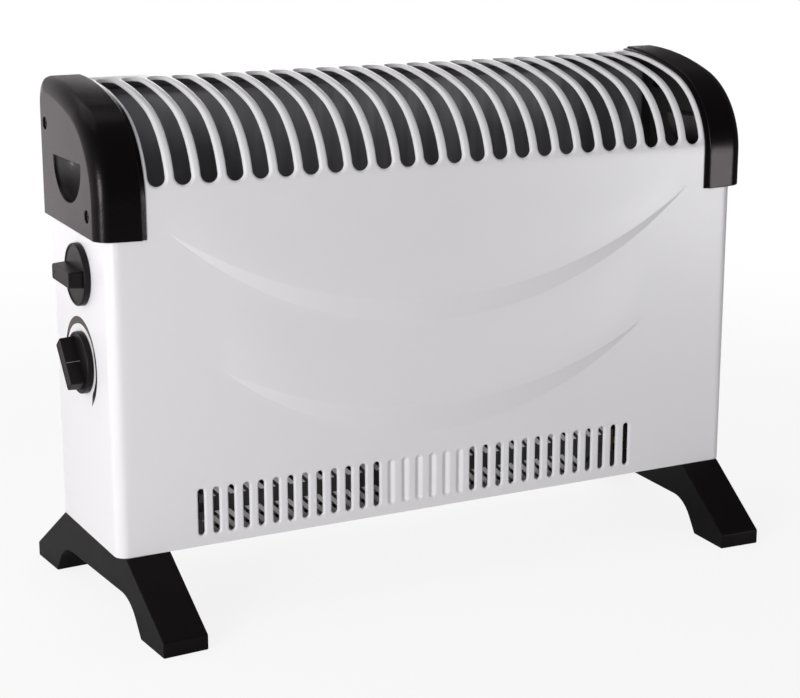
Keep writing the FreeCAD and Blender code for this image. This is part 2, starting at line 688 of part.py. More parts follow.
def selector_tab_spots():
    return [(SELECTOR[0] + dy, SELECTOR[1] + dz) for dy, dz in SWITCH_TABS]


def selector_terminals():
    return [tab(SWITCH_BACK, y, z) for y, z in selector_tab_spots()]


def thermostat_frame():
    top, half = T_Z + FRAME_UP, BRIDGE_W / 2
    plate = box(-INNER_X, T_PLATE, T_Y - FRAME_W / 2, T_Y + FRAME_W / 2, STACK_Z0, top)
    web = box(T_PLATE, T_BRIDGE + FRAME_T, T_Y - half, T_Y + half, top - FRAME_T, top)
    bridge = box(T_BRIDGE, T_BRIDGE + FRAME_T, T_Y - half, T_Y + half, T_Z - BRIDGE_LOW, top)
    bush = rod_x(BUSH_R, -HALF_W - BUSH_OUT, T_PLATE, T_Y, T_Z)
    body = plate.fuse([web, bridge, bush])
    tools = [rod_x(SHAFT_R + FIT, -HALF_W - BUSH_OUT - 1, T_PLATE + 1, T_Y, T_Z),
             rod_x(PIN_R + FIT, T_BRIDGE - 1, T_BRIDGE + 3, T_Y, T_Z)]
    return body.cut(tools).removeSplitter()


def thermostat_nut():
    flats = 2 * (BUSH_R + NUT_WALL)
    return hex_nut(flats, NUT_H, BUSH_R + FIT, V(-HALF_W, T_Y, T_Z), V(-1, 0, 0))


def thermostat_spindle():
    return rod_x(SHAFT_R, SHAFT_END, SPINDLE_END, T_Y, T_Z)


def thermostat_pin():
    return rod_x(PIN_R, SPINDLE_END + PIN_GAP, T_BIMETAL - PIN_GAP, T_Y, T_Z)


def thermostat_stack():
    spans = [(T_PLATE, T_BIMETAL), (T_BIMETAL + BLADE_T, T_CONTACT), (T_CONTACT + BLADE_T, T_END)]
    half = BRIDGE_W / 2
    return [box(a, b, T_Y - half, T_Y + half, STACK_Z0, STACK_Z1) for a, b in spans]


def blade(x):
    return box(x, x + BLADE_T, T_Y - BLADE_W / 2, T_Y + BLADE_W / 2, BLADE_Z0, BLADE_Z1)


def thermostat_contacts():
    mid, half = (T_BIMETAL + BLADE_T + T_CONTACT) / 2, CONTACT_GAP / 2
    z = BLADE_Z1 - CONTACT_DOWN
    return [rod_x(CONTACT_R, T_BIMETAL + BLADE_T, mid - half, T_Y, z),
            rod_x(CONTACT_R, mid + half, T_CONTACT, T_Y, z)]


def element_carrier():
    half = CARRIER_H / 2
    return box(-E_HALF, E_HALF, E_FRONT, E_FRONT + CARRIER_T, E_Z - half, E_Z + half)


def zigzag(side):
    """Flat ribbon folded up and down, its inner bends lying on the carrier's front face."""
    z_in = E_Z + side * (CARRIER_H / 2 - RIBBON_OVER)
    z_out = E_Z + side * (CARRIER_H / 2 + RIBBON_REACH)
    line, x, z = [V(RIBBON_X, 0, z_in)], RIBBON_X, z_in
    for leg in range(RIBBON_LEGS):
        x += RIBBON_FLAT
        line.append(V(x, 0, z))
        x, z = x + RIBBON_LEG, (z_out if leg % 2 == 0 else z_in)
        line.append(V(x, 0, z))
    line.append(V(x + RIBBON_FLAT, 0, z))

    def edge_of(d):
        out = []
        for i, p in enumerate(line):
            u = (p - line[i - 1]).normalize() if i else (line[1] - p).normalize()
            w = (line[i + 1] - p).normalize() if i < len(line) - 1 else u
            n0, n1 = V(-u.z, 0, u.x), V(-w.z, 0, w.x)
            out.append(p + (n0 + n1) * (d / (1 + n0.dot(n1))))
        return out

    outline = edge_of(RIBBON_W / 2) + edge_of(-RIBBON_W / 2)[::-1]
    face = Part.Face(Part.makePolygon(outline + [outline[0]]))
    return face.extrude(V(0, -RIBBON_T, 0)).translated(V(0, E_FRONT, 0))


def element_insulators():
    side, rim = CARRIER_T / 2 + CERAMIC_SIDE, CARRIER_H / 2 + CERAMIC_RIM
    block = box(CERAMIC_X, E_STOP, CARRIER_Y - side, CARRIER_Y + side, E_Z - rim, E_Z + rim)
    gap = SHEET_GAP
    groove = box(CERAMIC_X - 1, E_HALF + gap, E_FRONT - gap, E_FRONT + CARRIER_T + gap,
                 E_Z - CARRIER_H / 2, E_Z + CARRIER_H / 2 + gap)
    right = block.cut(groove)
    return [right, mirrored(right)]


def element_bracket():
    """Bracket of the +X end, standing on the bottom plate."""
    y0, y1 = CARRIER_Y - BRACKET_HALF, CARRIER_Y + BRACKET_HALF
    plate = box(E_STOP, E_STOP + BRACKET_T, y0, y1, DECK_Z, E_Z + CARRIER_H / 2 + BRACKET_RIM)
    foot_plate = box(E_STOP, E_STOP + BRACKET_FOOT, y0, y1, DECK_Z, DECK_Z + BRACKET_T)
    return plate.fuse(foot_plate).removeSplitter()


def terminal_z(side):
    return E_Z + side * (CARRIER_H / 2 - RIBBON_OVER)


def element_terminals():
    x, half = RIBBON_X - CLAMP_L / 3, CLAMP_L / 2
    return [box(x, x + CLAMP_L, RIBBON_FRONT - CLAMP_T, RIBBON_FRONT,
                terminal_z(s) - half, terminal_z(s) + half) for s in (-1, 1)]


def element_link():
    x1, y0, half = RIBBON_END, RIBBON_FRONT - LINK_T, LINK_W / 2
    plate = box(x1 - LINK_W, x1, y0, RIBBON_FRONT, terminal_z(-1) - half, terminal_z(1) + half)
    tail = box(x1 - 1, x1 + LINK_L, y0, RIBBON_FRONT, E_Z - half, E_Z + half)
    return plate.fuse(tail).removeSplitter()


def partition():
    wall = box(P_LEFT, PARTITION_X, PARTITION_FRONT - INNER_Y, P_BACK, DECK_Z, KNEE_Z - PARTITION_DOWN)
    flange = box(P_LEFT - FLANGE_W, P_LEFT + 0.5, FLANGE_FRONT - INNER_Y, BLOCK_Y[1] - 2,
                 DECK_Z, DECK_Z + SHEET)
    x0, x1, room = P_LEFT - 1, PARTITION_X + 1, WIRE_ROOM / 2
    wire_y = RIBBON_FRONT - CLAMP_T / 2
    tools = [box(x0, x1, wire_y - room, wire_y + room, WIRE_OVER - room, WIRE_OVER + room),
             box(x0, x1, BLOCK_Y[1] - 0.5, P_BACK + 1, DECK_Z - 1, DECK_Z + WIRE_ROOM - 2),
             rod_x(CUTOUT_CAP_R + 0.5, x0, x1, *CUTOUT)]
    return wall.fuse(flange).cut(tools).removeSplitter()


def heat_shield():
    """Plate in front of the rear panel, its top folded back."""
    y0, y1, t = SHIELD_Y, SHIELD_Y + SHIELD_T, SHIELD_T
    low, fold, up = BASE_Z + SHIELD_LOW, TOP_Z - SHIELD_DOWN, SHIELD_UP
    slope = t * math.tan(math.pi / 8)
    pts = [V(0, y0, low), V(0, y0, fold), V(0, y0 + up, fold + up),
           V(0, y0 + up + t * math.sin(math.pi / 4), fold + up - t * math.sin(math.pi / 4)),
           V(0, y1, fold - slope), V(0, y1, low)]
    face = Part.Face(Part.makePolygon(pts + [pts[0]]))
    plate = face.extrude(V(BODY_W - SHIELD_LEFT - SHIELD_RIGHT, 0, 0))
    return plate.translated(V(SHIELD_LEFT - HALF_W, 0, 0))


def shield_spacers():
    x = HALF_W - SPACER_IN
    return [rod(SPACER_R, V(sx, SHIELD_Y + SHIELD_T, z), V(sx, INNER_Y, z))
            for sx in (-x, x) for z in (BASE_Z + SPACER_LOW, TOP_Z - SPACER_DOWN)]


def thermal_cutout():
    body = rod_x(CUTOUT_R, P_LEFT - CUTOUT_L, P_LEFT, *CUTOUT)
    return body.fuse(rod_x(CUTOUT_CAP_R, P_LEFT - 1, PARTITION_X + CUTOUT_CAP_L, *CUTOUT)).removeSplitter()


def cutout_terminals():
    x, (y, z) = P_LEFT - CUTOUT_L, CUTOUT
    return [box(x - CUTOUT_TAB_L, x, y + s * CUTOUT_TAB_Y - TAB_T / 2, y + s * CUTOUT_TAB_Y + TAB_T / 2,
                z - TAB_W / 2, z + TAB_W / 2) for s in (-1, 1)]


def terminal_block():
    body = box(BLOCK_X, P_LEFT, *BLOCK_Y, *BLOCK_Z)
    return body.cut([rod_x(POLE_R + FIT, BLOCK_X - 1, BLOCK_X + POLE_DEEP, y, POLE_Z) for y in POLES])


def terminal_screws():
    x = BLOCK_X + POLE_SUNK
    return [rod_x(POLE_R, x, BLOCK_X + POLE_DEEP, y, POLE_Z).cut(
        box(x - 1, x + POLE_R / 3, y - POLE_R / 6, y + POLE_R / 6, POLE_Z - 2, POLE_Z + 2)) for y in POLES]


def cord_gland():
    x, z, back = GLAND_X, GLAND_Z, HALF_D + GLAND_FLANGE_T
    body = rod(GLAND_R, V(x, INNER_Y - GLAND_DEEP, z), V(x, HALF_D + 1, z))
    body = body.fuse(rod(GLAND_R + GLAND_RIM, V(x, HALF_D, z), V(x, back, z)))
    return body.cut(rod(GLAND_BORE_R, V(x, 0, z), V(x, back + 5, z))).removeSplitter()


def earth_tag():
    x, y = EARTH
    ring = rod(EARTH_R, V(x, y, DECK_Z), V(x, y, DECK_Z + TAB_T))
    half = EARTH_TAIL_W / 2
    tail = box(x - half, x + half, y, y + EARTH_TAIL, DECK_Z, DECK_Z + TAB_T)
    return ring.fuse(tail).cut(rod(M4_R + FIT, V(x, y, DECK_Z - 1), V(x, y, DECK_Z + 5))).removeSplitter()


def earth_screw():
    return screw(M4_R, M4_HEAD_R, M4_HEAD_H, EARTH_SCREW_L, V(*EARTH, DECK_Z + TAB_T), V(0, 0, 1))


def wire_run(points):
    """Insulated wire along straight runs joined by tangent arcs."""
    edges, start = [], points[0]
    for a, b, c in zip(points, points[1:], points[2:]):
        u, w = (a - b).normalize(), (c - b).normalize()
        half = u.getAngle(w) / 2
        cut = WIRE_BEND / math.tan(half)
        mid = (u + w).normalize() * (WIRE_BEND / math.sin(half) - WIRE_BEND)
        edges += [Part.makeLine(start, b + u * cut), Part.Arc(b + u * cut, b + mid, b + w * cut).toShape()]
        start = b + w * cut
    edges.append(Part.makeLine(start, points[-1]))
    ring = Part.Wire([Part.makeCircle(WIRE_R, points[0], points[1] - points[0])])
    return Part.Wire(edges).makePipeShell([ring], True, False)


def wire_live():
    """From the terminal block up to the selector."""
    y, z = selector_tab_spots()[0]
    return wire_run([V(DUCT_X, y, BLOCK_Z[1]), V(DUCT_X, y, z), V(SWITCH_BACK + TAB_L, y, z)])


def wire_switch():
    """From the selector down to the thermostat's contact blade."""
    y, z = selector_tab_spots()[1]
    x, low, side = T_CONTACT + BLADE_T / 2, BLADE_Z0 - 7, T_Y + BLADE_W / 2 - 1
    return wire_run([V(SWITCH_BACK + TAB_L, y, z), V(DUCT_X, y, z), V(DUCT_X, y, low),
                     V(x, side, low), V(x, side, BLADE_Z0)])


def wire_thermostat():
    """From the bimetal blade to the overheat cut-out."""
    x, y, z = P_LEFT - CUTOUT_L - 4, CUTOUT[0] + CUTOUT_TAB_Y, CUTOUT[1] - TAB_W / 2
    start, low, side = T_BIMETAL + BLADE_T / 2, BLADE_Z0 - 7, T_Y - BLADE_W / 2 + 1
    return wire_run([V(start, side, BLADE_Z0), V(start, side, low), V(x, y, low), V(x, y, z)])


def wire_element():
    """From the overheat cut-out through the partition to the upper ribbon's clamp."""
    x, y, z = P_LEFT - CUTOUT_L - 4, CUTOUT[0] - CUTOUT_TAB_Y, CUTOUT[1] - TAB_W / 2
    end_x, end_y, end_z = RIBBON_X + CLAMP_L / 6, RIBBON_FRONT - CLAMP_T / 2, terminal_z(1) + CLAMP_L / 2
    return wire_run([V(x, y, z), V(x, y, WIRE_OVER + 14), V(x, end_y, WIRE_OVER),
                     V(end_x, end_y, WIRE_OVER), V(end_x, end_y, end_z)])


def wire_neutral():
    """From the terminal block under the element to the ribbons' link."""
    x, pole, top = POLE_X, POLES[2], BLOCK_Z[1]
    y, low = BLOCK_Y[1] + 5, DECK_Z + 4
    end_x, end_y = RIBBON_END + LINK_L, RIBBON_FRONT - LINK_T / 2
    far, inside = end_x + 4 * WIRE_BEND, PARTITION_X + WIRE_ROOM
    run_y = y - NEUTRAL_IN
    return wire_run([V(x, pole, top), V(x, pole, top + 8), V(x, y, top + 8), V(x, y, low), V(inside, y, low),
                     V(inside + NEUTRAL_IN, run_y, low), V(far, run_y, low), V(far, end_y, low),
                     V(far, end_y, E_Z), V(end_x, end_y, E_Z)])


def wire_earth():
    """From the terminal block down to the earth point on the bottom plate."""
    x, y = EARTH
    over, turn, z = BLOCK_Z[1] + 12, POLES[1] + 4, DECK_Z + WIRE_R + 0.4
    return wire_run([V(POLE_X, POLES[1], BLOCK_Z[1]), V(POLE_X, POLES[1], over),
                     V(x, turn, over), V(x, turn, z), V(x, y + EARTH_TAIL, z)])


os.makedirs("parts", exist_ok=True)

# Case
save("front_panel", front_panel())
save("rear_panel", rear_panel())
save("rear_screws", rear_screws())
save("bottom_plate", bottom_plate())
save("partition", partition())
save("heat_shield", heat_shield())
save("shield_spacers", shield_spacers())
cap = end_cap()
save("right_end_cap", cap)
save("left_end_cap", mirrored(cap))
save("cap_screws", cap_screws())
save("left_foot", foot(-1))
save("right_foot", foot(1))
save("foot_screws", foot_screws())
save("foot_nuts", foot_nuts())

# Controls
save("selector_knob", knob(SELECTOR, SELECTOR_TURN))
save("selector_shaft", selector_shaft())
save("selector_switch", selector_switch())
save("selector_screws", selector_screws())
save("selector_terminals", selector_terminals())
save("thermostat_knob", knob(THERMOSTAT, THERMOSTAT_TURN))
save("thermostat_spindle", thermostat_spindle())
save("thermostat_frame", thermostat_frame())
save("thermostat_nut", thermostat_nut())
save("thermostat_pin", thermostat_pin())
save("thermostat_stack", thermostat_stack())
save("bimetal_blade", blade(T_BIMETAL))
save("contact_blade", blade(T_CONTACT))
save("thermostat_contacts", thermostat_contacts())

# Heating element
save("element_carrier", element_carrier())
save("upper_ribbon", zigzag(1))
save("lower_ribbon", zigzag(-1))
save("element_insulators", element_insulators())
bracket = element_bracket()
save("right_element_bracket", bracket)
save("left_element_bracket", mirrored(bracket))
save("element_terminals", element_terminals())
save("element_link", element_link())

# Wiring
save("thermal_cutout", thermal_cutout())
save("cutout_terminals", cutout_terminals())
save("terminal_block", terminal_block())
save("terminal_screws", terminal_screws())
save("cord_gland", cord_gland())
save("earth_tag", earth_tag())
save("earth_screw", earth_screw())
save("wire_live", wire_live())
save("wire_switch", wire_switch())
save("wire_thermostat", wire_thermostat())
save("wire_element", wire_element())
save("wire_neutral", wire_neutral())
save("wire_earth", wire_earth())
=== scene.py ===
import json
import math

import bmesh
import bpy
from bpy.props import FloatProperty, FloatVectorProperty, IntProperty, PointerProperty
from mathutils import Matrix, Vector


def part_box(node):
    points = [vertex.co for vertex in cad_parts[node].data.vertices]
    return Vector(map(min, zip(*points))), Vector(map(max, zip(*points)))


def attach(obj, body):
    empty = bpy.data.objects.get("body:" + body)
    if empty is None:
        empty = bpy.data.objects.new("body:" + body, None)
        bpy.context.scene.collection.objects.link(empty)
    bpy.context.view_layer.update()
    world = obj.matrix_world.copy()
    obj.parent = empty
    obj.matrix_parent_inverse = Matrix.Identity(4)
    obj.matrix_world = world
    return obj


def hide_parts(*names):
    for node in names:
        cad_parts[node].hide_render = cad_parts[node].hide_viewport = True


bl_info = {
    "name": "Convector heater",
    "version": (1, 0, 0),
    "blender": (4, 5, 0),
    "location": "View3D > Sidebar > Heater",
    "description": "Builds the visible pieces of a free-standing convector heater on its frame",
    "category": "Add Mesh",
}

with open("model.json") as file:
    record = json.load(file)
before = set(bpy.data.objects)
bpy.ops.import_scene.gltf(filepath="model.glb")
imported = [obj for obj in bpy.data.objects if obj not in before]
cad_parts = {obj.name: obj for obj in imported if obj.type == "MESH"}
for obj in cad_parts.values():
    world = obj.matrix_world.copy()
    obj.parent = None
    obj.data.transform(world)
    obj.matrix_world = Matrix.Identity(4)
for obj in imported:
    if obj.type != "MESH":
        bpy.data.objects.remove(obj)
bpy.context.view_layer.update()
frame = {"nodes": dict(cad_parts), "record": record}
CASE_LOW, CASE_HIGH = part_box("front_panel")
CAP_LOW, CAP_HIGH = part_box("right_end_cap")
JOINTS = {joint["name"]: joint for joint in frame["record"]["behaviour"]["joints"]}

TINY = 1e-6  # places closer than this count as one
RECESS_MIDDLE = -0.004  # depth of the hand recesses' middle
SCREW_BORE = 0.0042  # radius of the recesses over the screws


# Sizes that a user would change

def length(label, text, value):
    return FloatProperty(name=label, description=text, default=value, unit="LENGTH", precision=5)


def angle(label, text, value):
    return FloatProperty(name=label, description=text, default=math.radians(value),
                         subtype="ANGLE")


def number(label, text, value):
    return IntProperty(name=label, description=text, default=value)


def colour(label, text, value):
    return FloatVectorProperty(name=label, description=text, default=value, subtype="COLOR",
                               min=0, max=1)


class CaseSizes(bpy.types.PropertyGroup):
    """Sizes of the sheet case."""

    half_width: length("Half width", "From the middle to the outside of a side", CASE_HIGH.x)
    half_depth: length("Half depth", "From the middle to the flat front", CASE_HIGH.y)
    base: length("Bottom edge", "Height of the case's bottom edge", CASE_LOW.z)
    top: length("Top edge", "Height of the rear top edge", CASE_HIGH.z)
    sheet: length("Sheet", "Thickness of the steel sheet", 0.001)
    corner: length("Corner radius", "Radius of the upright front corners", 0.0085)
    knee: length("Knee radius", "Radius where the front turns into the top", 0.062)
    knee_turn: angle("Knee turn", "Angle that the knee turns through", 71)
    top_slots: number("Top slots", "Slots over the curved top", 24)
    top_pitch: length("Top pitch", "Distance between the top slots", 0.019)
    top_width: length("Top slot width", "Clear width of a top slot", 0.0126)
    top_roll: length("Top roll", "Radius of the rolled edge of a top slot", 0.0022)
    top_rise: length("Top slot start", "Lower end of a top slot, above the knee", 0.0089)
    top_back: length("Top slot end", "Rear end of a top slot, from the rear edge", 0.011)
    low_slots: number("Low slots", "Open slots in each low group", 13)
    blind_ribs: number("Blind ribs", "Pressed ribs between the low groups", 6)
    low_pitch: length("Low pitch", "Distance between the low slots", 0.0115)
    low_width: length("Low slot width", "Clear width of a low slot", 0.005)
    low_height: length("Low slot height", "Height of a low slot", 0.034)
    low_start: length("Low slot start", "Lower end of a low slot, above the bottom edge", 0.0077)
    low_shift: length("Low shift", "Middle of the low slots, from the case's middle", -0.0153)
    low_roll: length("Low roll", "Radius of the rolled edge of a low slot", 0.0013)
    relief: length("Relief", "Height of the pressed crescents", 0.0034)


class FittingSizes(bpy.types.PropertyGroup):
    """Sizes of caps, feet, knobs and heating ribbons."""

    cap_out: length("Cap side", "Outside of an end cap, from the middle", CAP_HIGH.x)
    cap_span: length("Cap span", "Width of an end cap over the front", 0.0325)
    cap_base: length("Cap edge", "Height of a cap's lower edge at the front", CAP_LOW.z - 0.0012)
    cap_over: length("Cap thickness", "How far a cap stands over the case", 0.003)
    cap_gap: length("Cap gap", "Gap between a cap and the case", 0.0003)
    cap_round: length("Cap rounding", "Radius along a cap's outer edge", 0.0125)
    cap_corner: length("Cap corner", "Radius of a cap's rear corner at its inner edge", 0.0015)
    cap_break: angle("Cap break", "Angle between a cap's side and its rounding", 16.5)
    cap_slant: length("Cap slant", "Rise of a cap's lower edge to its outer rear corner", 0.0045)
    lip_width: length("Lip width", "Width of the step beside a cap", 0.0035)
    lip_over: length("Lip thickness", "How far the step stands over the case", 0.0013)
    recess_radius: length("Recess radius", "Radius of the hand recess", 0.029)
    recess_top: length("Recess top", "Height of the hand recess's level edge", 0.323)
    recess_deep: length("Recess depth", "Depth of the hand recess", 0.022)
    foot_width: length("Foot width", "Width of a foot", 0.0333)
    foot_half: length("Foot half length", "From a foot's middle to a toe's end", 0.118)
    foot_top: length("Foot top half length", "Half length of a foot under the case", 0.0585)
    toe_height: length("Toe height", "Upright end of a toe", 0.011)
    toe_depth: length("Toe depth", "Length of a toe's sole", 0.039)
    arch: length("Arch", "Height of a foot's arch", 0.0243)
    splay: angle("Splay", "Turn of the feet, toes in at the front", 3)
    foot_middle: length("Foot place", "From the case's middle to a foot's middle", 0.2373)
    knob_radius: length("Knob radius", "Radius of a knob's disc", 0.022)
    knob_disc: length("Knob disc", "Thickness of a knob's disc", 0.0044)
    knob_out: length("Knob height", "Height of a knob with its grip", 0.0144)
    grip_length: length("Grip length", "Length of a knob's grip", 0.0365)
    grip_width: length("Grip width", "Width of a knob's grip", 0.011)
    ribbon_width: length("Ribbon width", "Width of the heating ribbon", 0.0031)
    ribbon_pitch: length("Ribbon pitch", "Distance between the ribbon's turns", 0.0078)
    ribbon_lag: length("Ribbon lag", "Start of the lower winding, after the upper one", 0.0032)


class Finishes(bpy.types.PropertyGroup):
    """Colours of the finishes."""

    paint: colour("Paint", "Powder coat of the case", (0.80, 0.785, 0.805))
    plastic: colour("Plastic", "Caps and feet", (0.0026, 0.0022, 0.0023))
    knob: colour("Knob", "Knobs", (0.0065, 0.0060, 0.0060))
    print_grey: colour("Scale grey", "Wide ends of the printed scale", (0.135, 0.112, 0.106))
    print_black: colour("Scale black", "Thin middle of the printed scale", (0.014, 0.013, 0.013))
    shield: colour("Shield", "Dark sheet behind the top slots", (0.20, 0.196, 0.212))


# Small helpers for modelling

def object_mode():
    if bpy.context.object and bpy.context.object.mode != "OBJECT":
        bpy.ops.object.mode_set(mode="OBJECT")


def choose(*pieces):
    """Selects these pieces alone, the last one active."""
    object_mode()
    bpy.ops.object.select_all(action="DESELECT")
    for piece in pieces:
        piece.select_set(True)
    bpy.context.view_layer.objects.active = pieces[-1]


def started(name, add, **settings):
    """Adds a primitive, selected alone, under its own name."""
    object_mode()
    bpy.ops.object.select_all(action="DESELECT")
    add(**settings)
    piece = bpy.context.object
    piece.name = piece.data.name = name
    return piece


def settle(piece):
    """Moves a piece's place, turn and scale into its mesh."""
    choose(piece)
    bpy.ops.object.transform_apply(location=True, rotation=True, scale=True)


def edit(piece):
    choose(piece)
    bpy.ops.object.mode_set(mode="EDIT")


def middle(edge):
    return (edge.verts[0].co + edge.verts[1].co) / 2


def corners(piece):
    """Lowest and highest corner of a mesh."""
    places = [vert.co for vert in piece.data.vertices]
    return [Vector([limit(place[axis] for place in places) for axis in range(3)])
            for limit in (min, max)]


def pick(kind, test):
    """Selects the vertices, edges or faces of the edit mesh that pass a test."""
    bpy.ops.mesh.select_mode(type=kind)
    bpy.ops.mesh.select_all(action="DESELECT")
    piece = bpy.context.object
    mesh = bmesh.from_edit_mesh(piece.data)
    elements = {"VERT": mesh.verts, "EDGE": mesh.edges, "FACE": mesh.faces}[kind]
    chosen = [element for element in elements if test(element)]
    if not chosen:
        raise RuntimeError("nothing to select on " + piece.name)
    for element in chosen:
        element.select_set(True)
    mesh.select_flush_mode()
    bmesh.update_edit_mesh(piece.data)


def pick_edges(test, rim=False):
    """Selects the edges whose ends both pass a test on their place; with rim, only open edges."""
    pick("EDGE", lambda e: all(test(v.co) for v in e.verts)
         and (len(e.link_faces) == 1 or not rim))


def select_all():
    bpy.ops.mesh.select_all(action="SELECT")


def face_out():
    """Turns all faces of the edit mesh outwards."""
    select_all()
    bpy.ops.mesh.normals_make_consistent(inside=False)


def push(x, y, z):
    bpy.ops.transform.translate(value=(x, y, z))


def pull_edges(x, y, z):
    bpy.ops.mesh.extrude_edges_move(TRANSFORM_OT_translate={"value": (x, y, z)})


def pull_faces(x, y, z):
    bpy.ops.mesh.extrude_region_move(TRANSFORM_OT_translate={"value": (x, y, z)})


def bevel(offset, segments, clamp=False):
    bpy.ops.mesh.bevel(offset=offset, segments=segments, profile=0.5, affect="EDGES",
                       clamp_overlap=clamp)


def modify(piece, kind, **settings):
    """Adds a modifier and applies it."""
    choose(piece)
    modifier = piece.modifiers.new(kind.title(), kind)
    for key, value in settings.items():
        setattr(modifier, key, value)
    bpy.ops.object.modifier_apply(modifier=modifier.name)


def repeated(piece, count, pitch, **merging):
    """Repeats a piece along X."""
    modify(piece, "ARRAY", count=count, use_relative_offset=False, use_constant_offset=True,
           constant_offset_displace=(pitch, 0, 0), **merging)


def cut(piece, tool, operation="DIFFERENCE"):
    """Cuts a tool from a piece, or adds it to the piece, and drops the tool."""
    modify(piece, "BOOLEAN", operation=operation, object=tool, solver="EXACT")
    bpy.data.objects.remove(tool)


def merge(piece, distance):
    edit(piece)
    select_all()
    bpy.ops.mesh.remove_doubles(threshold=distance)
    face_out()
    object_mode()


def joined(name, pieces):
    choose(*pieces)
    bpy.ops.object.join()
    piece = bpy.context.object
    piece.name = piece.data.name = name
    return piece


def smoothed(piece, degrees):
    """Smooth shading up to an angle, with the large faces kept flat."""
    choose(piece)
    bpy.ops.object.shade_smooth_by_angle(angle=math.radians(degrees))
    modify(piece, "WEIGHTED_NORMAL", mode="FACE_AREA", weight=100, keep_sharp=True)


def placed(piece, matrix):
    piece.data.transform(matrix)
    piece.data.update()


def shifted(piece, x):
    placed(piece, Matrix.Translation((x, 0, 0)))


def twin(piece, name):
    """A copy with a mesh of its own."""
    copy = piece.copy()
    copy.data = piece.data.copy()
    copy.name = copy.data.name = name
    bpy.context.collection.objects.link(copy)
    return copy


def mirrored(piece, name):
    """A copy of a right-hand piece for the left side."""
    copy = twin(piece, name)
    placed(copy, Matrix.Scale(-1, 4, (1, 0, 0)))
    copy.data.flip_normals()
    return copy


def plate(name, points, thick):
    """A flat outline of (y, z) points in the plane x = 0, pulled out to a thickness along +X."""
    piece = started(name, bpy.ops.mesh.primitive_circle_add, vertices=len(points),
                    fill_type="NGON")
    for vert, (y, z) in zip(piece.data.vertices, points):
        vert.co = (0, y, z)
    edit(piece)
    select_all()
    pull_faces(thick, 0, 0)
    face_out()
    object_mode()
    return piece


def taper(piece, x, before, after):
    """Moves the outline at x from one set of (y, z) points to another."""
    for vert in piece.data.vertices:
        if abs(vert.co.x - x) < TINY:
            gaps = [(vert.co.y - y) ** 2 + (vert.co.z - z) ** 2 for y, z in before]
            vert.co.y, vert.co.z = after[gaps.index(min(gaps))]


def rod(name, radius, start, end, sides):
    """A round bar from one point to another."""
    start, end = Vector(start), Vector(end)
    way = end - start
    piece = started(name, bpy.ops.mesh.primitive_cylinder_add, vertices=sides, radius=radius,
                    depth=way.length)
    turn = way.to_track_quat("Z", "Y").to_matrix().to_4x4()
    placed(piece, Matrix.Translation((start + end) / 2) @ turn)
    return piece


def paint(piece, material):
    piece.data.materials.clear()
    piece.data.materials.append(material)


def dress(piece, body, slot, material, *nodes):
    """Paints a finished piece, if it has one finish, hangs it on its body's empty and hides the
    parts that it stands for.
    """
    if material:
        paint(piece, material)
    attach(piece, body)
    if nodes:
        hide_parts(*nodes)


# Shape of the case's side section

class Section:
    """Upright front, knee and wide arc of the case, walked by the length along the sheet."""

    knee_parts = 24

    def __init__(self, case):
        self.front, self.base, self.top = -case.half_depth, case.base, case.top
        self.knee, self.turn, depth = case.knee, case.knee_turn, 2 * case.half_depth
        self.wide = (depth - self.knee * (1 - math.cos(self.turn))) / math.cos(self.turn)
        self.knee_z = self.top - self.wide + (self.wide - self.knee) * math.sin(self.turn)
        self.to_knee = self.knee_z - self.base
        self.to_wide = self.to_knee + self.knee * self.turn
        self.whole = self.to_wide + self.wide * (math.pi / 2 - self.turn)

    def at(self, along):
        """Point and outward normal in (y, z)."""
        if along <= self.to_knee:
            return Vector((self.front, self.base + along)), Vector((-1, 0))
        if along <= self.to_wide:
            a, r = (along - self.to_knee) / self.knee, self.knee
            centre = Vector((self.front + r, self.knee_z))
        else:
            a, r = self.turn + (along - self.to_wide) / self.wide, self.wide
            centre = Vector((-self.front, self.top - r))
        normal = Vector((-math.cos(a), math.sin(a)))
        return centre + normal * r, normal

    def grown(self, grow, last, parts, count):
        """Points over the knee and along the wide arc, grown outwards.

        The arc up to the angle last is taken in equal parts, and count points of it are given.
        """
        knee, arc = self.knee * self.turn, self.wide * (last - self.turn)
        steps = [self.to_knee + knee * k / self.knee_parts for k in range(self.knee_parts)]
        steps += [self.to_wide + arc * k / parts for k in range(count)]
        return [tuple(point + normal * grow) for point, normal in map(self.at, steps)]

    def outline(self, grow, low, back):
        """Closed outline grown outwards, from the height low to the depth back."""
        points = [(back, low), (self.front - grow, low)]
        points += self.grown(grow, math.pi / 2, 10, 11)
        if back > points[-1][0] + 1e-5:
            points.append((back, points[-1][1]))
        return points

    def cap(self, grow, inset, rear, corner, low):
        """Outline of an end cap: the section grown and set in, its rear top corner rounded."""
        reach = self.wide + grow - inset - corner
        last = math.acos((rear + corner) / reach)
        centre = Vector((-self.front - rear - corner,
                         self.top - self.wide + reach * math.sin(last)))
        points = [(-self.front - rear, low), (self.front - grow + inset, low)]
        points += self.grown(grow - inset, last, 6, 6)
        parts = 12
        for k in range(parts + 1):
            a = last + (math.pi - last) * k / parts
            points.append(tuple(centre + corner * Vector((-math.cos(a), math.sin(a)))))
        return points


# Shader nodes

